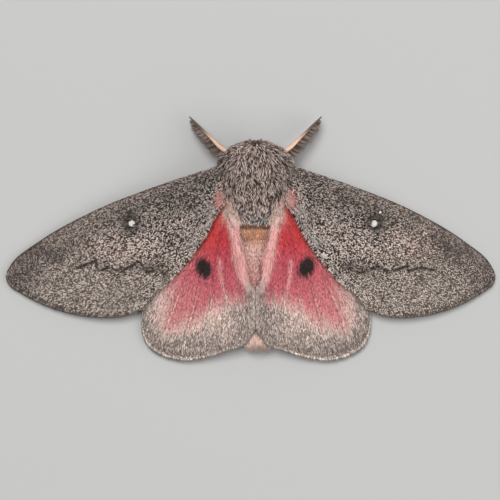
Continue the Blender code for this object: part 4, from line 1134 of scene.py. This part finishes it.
def body_skin(material):
    """Thorax, head, abdomen and legs as one skin: closed forms that cross, remade as one smooth surface."""
    forms = [
        closed_surface(thorax_point, np.linspace(0, 1, 60), 72),
        closed_surface(abdomen_point, np.linspace(0, 1, 90), 60),
        closed_surface(head_point, np.linspace(0.02, 0.98, 40), 56),
        closed_surface(tube(NECK, NECK_RADII), np.linspace(0, 1, 8), 32),
        closed_surface(tube(WAIST, WAIST_RADII), np.linspace(0, 1, 8), 32),
    ]
    for sign in SIDES.values():
        forms.append(closed_surface(tube(PALP * (sign, 1, 1), PALP_RADII), np.linspace(0, 1, 20), 16))
    for path in LEGS:
        forms.append(closed_surface(tube(path, LEG_RADII), np.linspace(0, 1, 50), 14))
    points, triangles, offset = [], [], 0
    for p, t in forms:
        points.append(p)
        triangles.append(t + offset)
        offset += len(p)
    mesh = bpy.data.meshes.new("body_form")
    mesh.from_pydata(np.concatenate(points).tolist(), [], np.concatenate(triangles).tolist())
    form = add_object("body_form", mesh)
    remake = form.modifiers.new("one_surface", "REMESH")
    remake.mode = "VOXEL"
    remake.voxel_size = SKIN_VOXEL
    even = form.modifiers.new("even", "SMOOTH")
    even.factor = 0.5
    even.iterations = 6
    graph = bpy.context.evaluated_depsgraph_get()
    done = form.evaluated_get(graph).to_mesh()
    done.calc_loop_triangles()
    p = np.empty(len(done.vertices) * 3)
    done.vertices.foreach_get("co", p)
    p = p.reshape(-1, 3)
    t = np.empty(len(done.loop_triangles) * 3, np.int32)
    done.loop_triangles.foreach_get("vertices", t)
    bpy.data.objects.remove(form, do_unlink=True)
    p[:, 2] = np.maximum(p[:, 2], 0.02)
    thorax, contrast = thorax_colour(p)
    thorax = thorax * (1.05 - 0.6 * contrast)[:, None]
    colour = np.where((p[:, 1] > THORAX_REAR_Y)[:, None], abdomen_colour(p), thorax)
    below_chest = (p[:, 2] < 1.5) & (p[:, 1] < -1.0)
    beside_thorax = np.abs(p[:, 0]) > 3.95
    colour = np.where((below_chest | beside_thorax)[:, None], PINK_TAN * 0.6, colour)
    return triangle_mesh("body_skin", p, t, colour * 0.7, material)


def surface_hairs(surface, a, b, heading, length, width, height, colours, uv):
    """Hairs on a surface of (a, b): each sets off at heading radians from a's direction and follows it.

    height is how far its tip stands off, and the middle stands off by a share of that.
    """
    p, _, _, normal, la, lb = frame_at(surface, a, b)
    start = p - normal * 0.05
    places = []
    for reach in (0.5, 1.0):
        aa = a + reach * length * np.cos(heading) / np.maximum(la, 1e-3)
        bb = b + reach * length * np.sin(heading) / np.maximum(lb, 1e-3)
        q, _, _, n, _, _ = frame_at(surface, aa, bb)
        places.append((q, n))
    (middle, n1), (end, n2) = places
    middle = middle + n1 * (height * HAIR_MIDDLE)[:, None]
    end = end + n2 * height[:, None]
    return hairs((start, middle, end), (normal, n1), width, colours, uv)


def spread_uv(a, b):
    """Bake map place from a share and a turn."""
    return np.stack([0.02 + 0.96 * np.clip(a, 0, 1), 0.02 + 0.96 * ((b / (2 * math.pi) + 0.5) % 1.0)], -1)


def tips(colour, contrast, pale_share=0.5):
    """Root, middle and tip colours: dark roots where the contrast is high, and pale tips on some hairs."""
    tip = grain(colour, contrast, pale_share)
    own = colour * fade(contrast, 0.8, 0.2)[:, None] * 0.6
    return colour * 0.2 + own, colour * 0.25 + tip * 0.5 + own * 0.3, tip


def thorax_closed(share, turn):
    """The thorax with its front end drawn in to a point and its rear end drawn on, for hairs past its ends.

    Shares below 0 run to the front point, and shares above 1 go on straight back.
    """
    share = np.asarray(share, float)
    p = thorax_point(np.clip(share, 0, 1), turn)
    ahead = np.clip(-share, 0, PAST_ENDS) / PAST_ENDS
    p = p + (THORAX_FRONT - p) * ahead[..., None]
    p[..., 1] += np.clip(share - 1, 0, PAST_ENDS) * THORAX_SHARE_LENGTH
    return p


def surface_vanes(surface, a, b, heading, length, width, depth, tilt, colour, uv):
    """Scales over a surface of (a, b), at a depth over it, each set off at heading radians and tilted up."""
    p, along_a, along_b, normal, _, _ = frame_at(surface, a, b)
    lie = turned(along_a, along_b, heading)
    root = p + normal * depth[:, None]
    return vanes(root, lie, normal, length, width, length * tilt, colour, uv, tip_shade=1.25)


def thorax_heading(p, b, spread):
    """Headings of the thorax coat: fanned outwards over the shoulders, wavering, and strewn by spread."""
    side = np.arctan2(np.sin(b), np.cos(b))
    fan = 0.6 * fade(p[:, 1], -4.5, -7.5) * fade(p[:, 1], -11.6, -9.6) - 0.1
    return fan * np.clip(side, -1.5, 1.5) + 0.65 * swirl(p, 2.1) + draw.normal(0, spread, len(b))


def on_shoulders(p, b):
    """1 at the middle of each shoulder and falling off round it: a bell along Y times a fade across."""
    side = np.abs(np.arctan2(np.sin(b), np.cos(b)))
    return np.exp(-(((p[:, 1] + 9.9) / 1.5) ** 2)) * fade(side, 0.7, 1.3) * fade(side, 2.4, 1.8)


def lower_in_front(p):
    """1 over the thorax, and half that at its front edge."""
    return 1 - 0.5 * fade(p[:, 1], -9.4, -10.7)


def thorax_coat(material):
    """The thorax coat: a layer of dark hair, and over it short curved scales with pale tips.

    Everything lies back from the front edge and fans outwards, wavering from place to place.
    """
    a, b, _ = scatter(thorax_closed, 3600, (-0.19, 0.99), (-math.pi, math.pi))
    p = thorax_closed(a, b)
    length = draw.uniform(0.7, 1.1, len(a))
    height = draw.uniform(0.08, 0.32, len(a)) * (1 + 0.8 * on_shoulders(p, b)) * lower_in_front(p)
    heading = thorax_heading(p, b, 0.35)
    own = tips(*thorax_colour(p), 0.35)
    hair = surface_hairs(thorax_closed, a, b, heading, length, 0.15, height, own, spread_uv(a, b))
    a, b, pick = scatter(thorax_closed, 24400, (-0.19, 0.985), (-math.pi, math.pi))
    p = thorax_closed(a, b)
    depth = draw.uniform(0.0, 0.4, len(a)) * (1 + 0.7 * on_shoulders(p, b)) * lower_in_front(p)
    heading = thorax_heading(p, b, 0.38)
    length, width = draw.uniform(0.55, 1.1, len(a)), draw.uniform(0.05, 0.08, len(a))
    tilt = draw.uniform(0.03, 0.2, len(a)) * lower_in_front(p)
    own = grain(*thorax_colour(p), 0.5, pick)
    scale = surface_vanes(thorax_closed, a, b, heading, length, width, depth, tilt, own, spread_uv(a, b))
    return coat("thorax_hair", [hair, scale, waist_hair(), *(flank_hair(side) for side in SIDES)], material)


def flank_hair(side):
    """A tuft of cream hair that spreads from the thorax's rear flank out over the hindwing's root."""
    count = 340
    share = draw.uniform(0, 1, count)
    y = -4.3 + 1.9 * share
    x = np.interp(y, THORAX_Y, THORAX_HALF_WIDTH) - 0.05
    floor = wing_height("hindwing", x, y, 0.5) + MEMBRANE / 2
    start = np.stack([x, y, floor + draw.uniform(0.05, 0.5, count)], -1)
    length = draw.uniform(0.6, 1.8, count)
    end_x = strip_x(side, y + length) + draw.normal(0.1, 0.2, count)
    end_floor = wing_height("hindwing", end_x, y + length, 0.5) + MEMBRANE / 2
    end = np.stack([end_x, y + length, end_floor + draw.uniform(0.02, 0.1, count)], -1)
    middle = (start + end) / 2 + np.stack([0.14 + 0 * x, -0.1 + 0 * x, draw.uniform(0.0, 0.08, count)], -1)
    start, middle, end = (p * (SIDES[side], 1, 1) for p in (start, middle, end))
    own = mix(TUFT_CREAM[None] * 1.12, BLUSH[None] * 1.15, 0.3 + 0.6 * share)
    own = np.minimum(own * draw.uniform(0.92, 1.12, (count, 1)), 0.94)
    up = rows_of(UP, count)
    along_thorax = np.interp(y, THORAX_Y, np.linspace(0, 1, len(THORAX_Y)))
    uv = spread_uv(along_thorax, np.full(count, 1.6 * SIDES[side]))
    # The roots are a little darker: painted shade among the hairs
    return hairs((start, middle, end), (up, up), 0.05, (own * 0.85, own, own), uv)


def waist_hair():
    """Pale hair that hangs from the thorax's rear edge to the abdomen's front ring and closes the step."""
    count = 500
    b = draw.uniform(-1.5, 1.5, count)
    start = thorax_point(draw.uniform(0.93, 0.99, count), b)
    foot_share, drawn_in = draw.uniform(0.01, 0.065, count), draw.uniform(0.85, 1.0, count)
    foot = abdomen_point(foot_share, b * drawn_in + draw.normal(0, 0.1, count))
    out = unit(np.stack([np.sin(b), np.full(count, 0.6), np.cos(b)], -1))
    middle = start * 0.55 + foot * 0.45 + out * draw.uniform(0.15, 0.4, count)[:, None]
    end = start * 0.05 + foot * 0.95 + out * draw.uniform(0.08, 0.22, count)[:, None]
    colour, _ = thorax_colour(start)
    own = grain(colour * 0.9, np.full(count, 0.45))
    uv = spread_uv(np.full(count, 0.99), b)
    tip = mix(CREAM[None], ORANGE_BROWN[None] * 1.5, draw.uniform(0.3, 1.0, count))
    return hairs((start, middle, end), (out, out), 0.1, (own * 0.6, mix(own, tip, 0.55), tip), uv)


def head_coat(material):
    """Hair over the head: down the face from between the antennae, parted round the eyes."""
    a, b, _ = scatter(head_point, 4600, (0.06, 0.97), (-math.pi, math.pi))
    p = head_point(a, b)
    clear = np.ones(len(a), bool)
    for sign in SIDES.values():
        clear &= np.linalg.norm(p - EYE_CENTRE * (sign, 1, 1), axis=-1) > EYE_RADIUS + 0.02
    a, b, p = a[clear], b[clear], p[clear]
    heading = draw.normal(0, 0.3, len(a))
    length = draw.uniform(0.45, 0.85, len(a))
    height = draw.uniform(0.1, 0.34, len(a))
    colour = mix(BROWN[None] * 1.4, PINK_TAN[None] * 0.9, 0.5 * fade(p[:, 2], 3.2, 1.8))
    own = tips(colour, np.full(len(a), 0.8))
    groups = [surface_hairs(head_point, a, b, heading, length, 0.11, height, own, spread_uv(a, b))]
    count = 420
    for sign in SIDES.values():
        palp = tube(PALP * (sign, 1, 1), PALP_RADII)
        a = draw.uniform(0.3, 0.93, count)
        b = draw.uniform(-math.pi, math.pi, count)
        length = np.minimum(draw.uniform(0.16, 0.34, count), 0.06 + 1.4 * (1 - a))
        heading, height = draw.normal(0, 0.15, count), draw.uniform(0.01, 0.05, count)
        own = tips(rows_of(mix(BROWN, PINK_TAN, 0.2) * 1.3, count), np.full(count, 0.6))
        groups.append(surface_hairs(palp, a, b, heading, length, 0.06, height, own, spread_uv(a, b)))
    return coat("head_hair", groups, material)


def abdomen_coat(material):
    """Hair over the abdomen, lying back, denser over its front ring, and the tuft at its end."""
    a, b, _ = scatter(abdomen_point, 8200, (0.0, 0.985), (-math.pi, math.pi))
    front_a, front_b, _ = scatter(abdomen_point, 1900, (-0.03, 0.09), (-math.pi, math.pi))
    a, b = np.concatenate([a, np.maximum(front_a, 0)]), np.concatenate([b, front_b])
    p = abdomen_point(a, b)
    heading = draw.normal(0, 0.22, len(a))
    length = draw.uniform(0.6, 1.1, len(a)) * (0.85 + 0.15 * fade(a, 0.0, 0.12))
    height = draw.uniform(0.08, 0.26, len(a))
    own = grain(abdomen_colour(p), np.full(len(a), 0.15))
    own = own * 0.75, own, own * 1.15
    groups = [surface_hairs(abdomen_point, a, b, heading, length, 0.11, height, own, spread_uv(a, b))]
    count = 1500
    b = draw.uniform(-math.pi, math.pi, count)
    a = draw.uniform(0.9, 1.0, count)
    p = abdomen_point(a, b)
    out = unit(np.stack([np.sin(b), np.zeros(count), np.cos(b)], -1))
    length = (TUFT_REAR_Y - p[:, 1]) * draw.uniform(0.45, 1.0, count)
    spread = draw.uniform(0.0, 0.45, count)[:, None]
    start = p - out * 0.1
    middle = p + np.array([0, 1.0, 0]) * length[:, None] * 0.5 + out * spread
    end = p + np.array([0, 1.0, 0]) * length[:, None] - out * spread * 0.2 + draw.normal(0, 0.07, (count, 3))
    middle[:, 0] -= 0.2
    end[:, 0] = end[:, 0] * 0.95 - 0.4
    colour = mix(BLUSH[None] * 0.95, CREAM[None] * 1.1, draw.uniform(0.0, 0.8, count))
    own = grain(colour, np.full(count, 0.2))
    groups.append(hairs((start, middle, end), (out, out), 0.09, (own * 0.8, own, own * 1.2), spread_uv(a, b)))
    return coat("abdomen_hair", groups, material)


def leg_coat(material):
    """Short hair along the six legs, longest along the femur and tibia."""
    groups = []
    count = 900
    for path in LEGS:
        a = draw.uniform(0.2, 0.97, count)
        b = draw.uniform(-math.pi, math.pi, count)
        length = draw.uniform(0.3, 0.6, count) * np.where(a < 0.72, 1.0, 0.5)
        height = draw.uniform(0.03, 0.16, count) * np.where(a < 0.72, 1.0, 0.35)
        colour = mix(PINK_TAN[None] * 0.85, BROWN[None] * 1.3, fade(a, 0.6, 0.85))
        own = grain(colour, np.full(count, 0.25))
        heading = draw.normal(0, 0.25, count)
        own = own * 0.5, own * 0.8, own
        points, *rest = surface_hairs(
            tube(path, LEG_RADII), a, b, heading, length, 0.09, height, own, spread_uv(a, b)
        )
        points[..., 2] = np.maximum(points[..., 2], 0.01)
        groups.append((points, *rest))
    return coat("leg_hair", groups, material)


def claws(material):
    """Two small curved claws at the end of each foot: tapering tubes along a short bent path."""
    groups = []
    apart = np.array([[-1.0], [1.0]])
    for path in LEGS:
        end = path[-1]
        ahead = unit(end - path[-2])
        across = unit(np.cross(ahead, UP)) * apart
        start = end - ahead * 0.15 + across * 0.06
        middle = end + ahead * 0.02 + across * 0.12 + UP * 0.05
        tip = end + ahead * 0.06 + across * 0.16 - UP * 0.12
        up, dark = rows_of(UP, 2), rows_of(UMBER, 2)
        groups.append(hairs((start, middle, tip), (up, up), 0.09, (dark, dark, dark), np.full((2, 2), 0.5)))
    points, triangles, colours, _ = joined(*groups)
    return triangle_mesh("claws", points, triangles, colours, material)


def antenna_shaft(side, path, material):
    """A tapering shaft of many short joints: a tube whose radius waves along it."""
    rows, columns, joint_count = 260, 14, 42
    t = np.linspace(0, 0.995, rows)
    joints = 1 + 0.05 * np.sin(np.linspace(0, joint_count * 2 * math.pi, rows))
    radius = np.interp(t, [0.0, 0.3, 0.5, 0.7, 0.9, 1.0], [0.28, 0.27, 0.2, 0.16, 0.12, 0.07]) * joints
    here = along(path, t)
    ahead = unit(np.gradient(here, axis=0))
    side_on = unit(np.cross(ahead, UP))
    up = np.cross(side_on, ahead)
    turn = np.arange(columns) * 2 * math.pi / columns
    ring = np.cos(turn)[None, :, None] * side_on[:, None] + np.sin(turn)[None, :, None] * up[:, None]
    rings = here[:, None] + radius[:, None, None] * ring
    points, triangles = closed_rings(rings, [here[0], here[-1] + ahead[-1] * 0.03])
    colour = mix(SHAFT_TAN[None], UMBER[None] * 2.2, fade(t, 0.45, 0.8))
    colours = np.concatenate([np.repeat(colour, columns, 0), colour[:1], colour[-1:]])
    return triangle_mesh(f"antenna_{side}_shaft", points, triangles, colours, material)


def antenna_branches(side, path, material):
    """Four rows of branches behind the shaft, longest near its base, with fine hairs along both sides."""
    pairs, fine_count, fine = 46, 9, 0.16
    at = np.repeat(np.linspace(0.24, 0.93, pairs), 4)
    row = np.tile([0, 1, 2, 3], pairs)
    count = len(row)
    here = along(path, at)
    ahead = unit(along(path, np.clip(at + 0.01, 0, 1)) - along(path, at - 0.01))
    rear = unit(np.cross(UP, ahead)) * SIDES[side]
    rise = np.cross(ahead, rear) * SIDES[side]
    tilt = np.radians(np.array([24, -40, 8, -22]))[row] + draw.normal(0, 0.08, count)
    out = unit(np.cos(tilt)[:, None] * rear + np.sin(tilt)[:, None] * rise + 0.25 * ahead)
    length = np.interp(at, [0.2, 0.3, 0.6, 0.8, 0.94], [1.45, 1.65, 1.45, 1.1, 0.4])
    length = (length * draw.uniform(0.78, 1.04, count))[:, None]
    start = here + out * 0.05
    middle = here + out * length * 0.55 - ahead * 0.03
    end = here + out * length + ahead * length * 0.12
    normal = unit(np.cross(out, ahead))
    colour = grain(rows_of(BROWN * 0.8, count), np.full(count, 0.5))
    uv = np.stack([at, 0.1 + 0.2 * row], -1)
    branches = hairs((start, middle, end), (normal, normal), 0.13, (colour, colour, colour * 1.3), uv)
    share = np.tile(np.linspace(0.2, 0.95, fine_count), count)
    base = np.repeat(here, fine_count, 0) + np.repeat(out * length, fine_count, 0) * share[:, None]
    left_or_right = np.where(draw.uniform(0, 1, len(base)) < 0.5, 1, -1)[:, None]
    sideways = np.repeat(unit(np.cross(normal, out)), fine_count, 0) * left_or_right
    upwards = np.repeat(normal, fine_count, 0) * draw.normal(0, 0.6, (len(base), 1))
    out = np.repeat(out, fine_count, 0)
    aim = unit(sideways + upwards + out * 0.6)
    colour = grain(rows_of(BROWN * 1.1, len(base)), np.full(len(base), 0.6))
    line = base, base + aim * fine * 0.5, base + aim * fine
    hair = hairs(line, (out, out), 0.035, (colour * 0.7, colour, colour), np.repeat(uv, fine_count, 0))
    return coat(f"antenna_{side}_branches", [branches, hair], material)


def eye(side, material):
    """A ball, drawn as rings from pole to pole."""
    centre = EYE_CENTRE * (SIDES[side], 1, 1)

    def ball(share, turn):
        """From the top pole to the bottom one by share, turned round the upright axis."""
        up = math.pi * share
        aim = np.stack([np.sin(up) * np.cos(turn), np.sin(up) * np.sin(turn), np.cos(up) + 0 * turn], axis=-1)
        return centre + aim * EYE_RADIUS

    poles = [centre + UP * EYE_RADIUS, centre - UP * EYE_RADIUS]
    points, triangles = closed_surface(ball, np.linspace(0.01, 0.99, 40), 64, poles)
    return triangle_mesh(f"eye_{side}_ball", points, triangles, np.zeros((len(points), 3)), material)


def stage():
    """A pale floor under the moth, soft lights, and the camera straight above it with the head up in view."""
    mesh = bpy.data.meshes.new("floor")
    corners = [(x * FLOOR_HALF, y * FLOOR_HALF, 0) for x, y in ((-1, -1), (1, -1), (1, 1), (-1, 1))]
    mesh.from_pydata(corners, [], [(0, 1, 2, 3)])
    floor = add_object("floor", mesh)
    paper, _ = new_material("pale_floor", Base_Color=(0.42, 0.42, 0.415, 1), Roughness=0.9)
    mesh.materials.append(paper)
    for name, where, size, power in LIGHTS:
        lamp = bpy.data.lights.new(name, "AREA")
        lamp.size = size
        lamp.energy = power
        light = add_object(name, lamp)
        light.location = where
        aim_at_origin(light)
    scene = bpy.context.scene
    scene.view_settings.view_transform = "Standard"
    scene.world = bpy.data.worlds.new("studio")
    scene.world.use_nodes = True
    sky = scene.world.node_tree.nodes["Background"]
    sky.inputs["Color"].default_value = (1.0, 0.99, 0.98, 1)
    sky.inputs["Strength"].default_value = SKY_STRENGTH
    lens = bpy.data.cameras.new("camera")
    lens.lens = LENS
    lens.sensor_width = 36
    lens.clip_start = 0.01
    camera = add_object("camera", lens)
    camera.location = CAMERA_PLACE
    camera.rotation_euler = (0, 0, math.pi)
    scene.camera = camera


def aim_at_origin(light):
    """Turns a light so that it shines on the middle of the moth."""
    x, y, z = light.location
    flat = math.hypot(x, y)
    light.rotation_euler = (math.atan2(flat, z), 0, math.atan2(x, -y))


def main():
    """Every piece attached to its body, with the solids that it takes the place of hidden, then the floor and
    lights.
    """
    scales = tint_material("wing_scales", 0.75, 0.06, 0.08, 24000, 0.1, 24000)
    silk = tint_material("silky_hair", 0.6, 0.06, 0.05, 24000, 0.05, 24000)
    hair = tint_material("body_hair", 0.65, 0.06, 0.08, 24000, 0.05, 24000)
    skin = tint_material("skin", 0.8, 0.1, 0.2, 5000, 0.5, 9000)
    shaft = tint_material("antenna_shaft", 0.55, 0.0, 0.12, 8000, 0.3, 12000)
    eyes = eye_material()

    body = body_skin(skin)
    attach(body, "root")
    legs = [f"leg_{pair}_{side}" for pair in LEG_PATHS for side in SIDES]
    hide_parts("thorax", "head", "abdomen", *legs)
    for piece, slot in [
        (thorax_coat(hair), "thorax_fur"),
        (head_coat(hair), "head_fur"),
        (abdomen_coat(hair), "abdomen_fur"),
        (leg_coat(hair), "leg"),
        (claws(shaft), "leg"),
    ]:
        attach(piece, "root")
    for side in SIDES:
        for wing, material, build in [
            ("forewing", scales, forewing_scales),
            ("hindwing", silk, hindwing_scales),
        ]:
            membrane = wing_skin(wing, side, skin)
            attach(membrane, "root")
            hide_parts(f"{wing}_{side}")
            cover = build(side, material)
            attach(cover, "root")
        path = ANTENNA_PATH * (SIDES[side], 1, 1)
        stem, combs = antenna_shaft(side, path, shaft), antenna_branches(side, path, shaft)
        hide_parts(f"antenna_{side}")
        ball = eye(side, eyes)
        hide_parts(f"eye_{side}")
        for piece, slot in [(stem, "antenna"), (combs, "antenna"), (ball, "eye")]:
            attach(piece, "root")
    stage()


main()
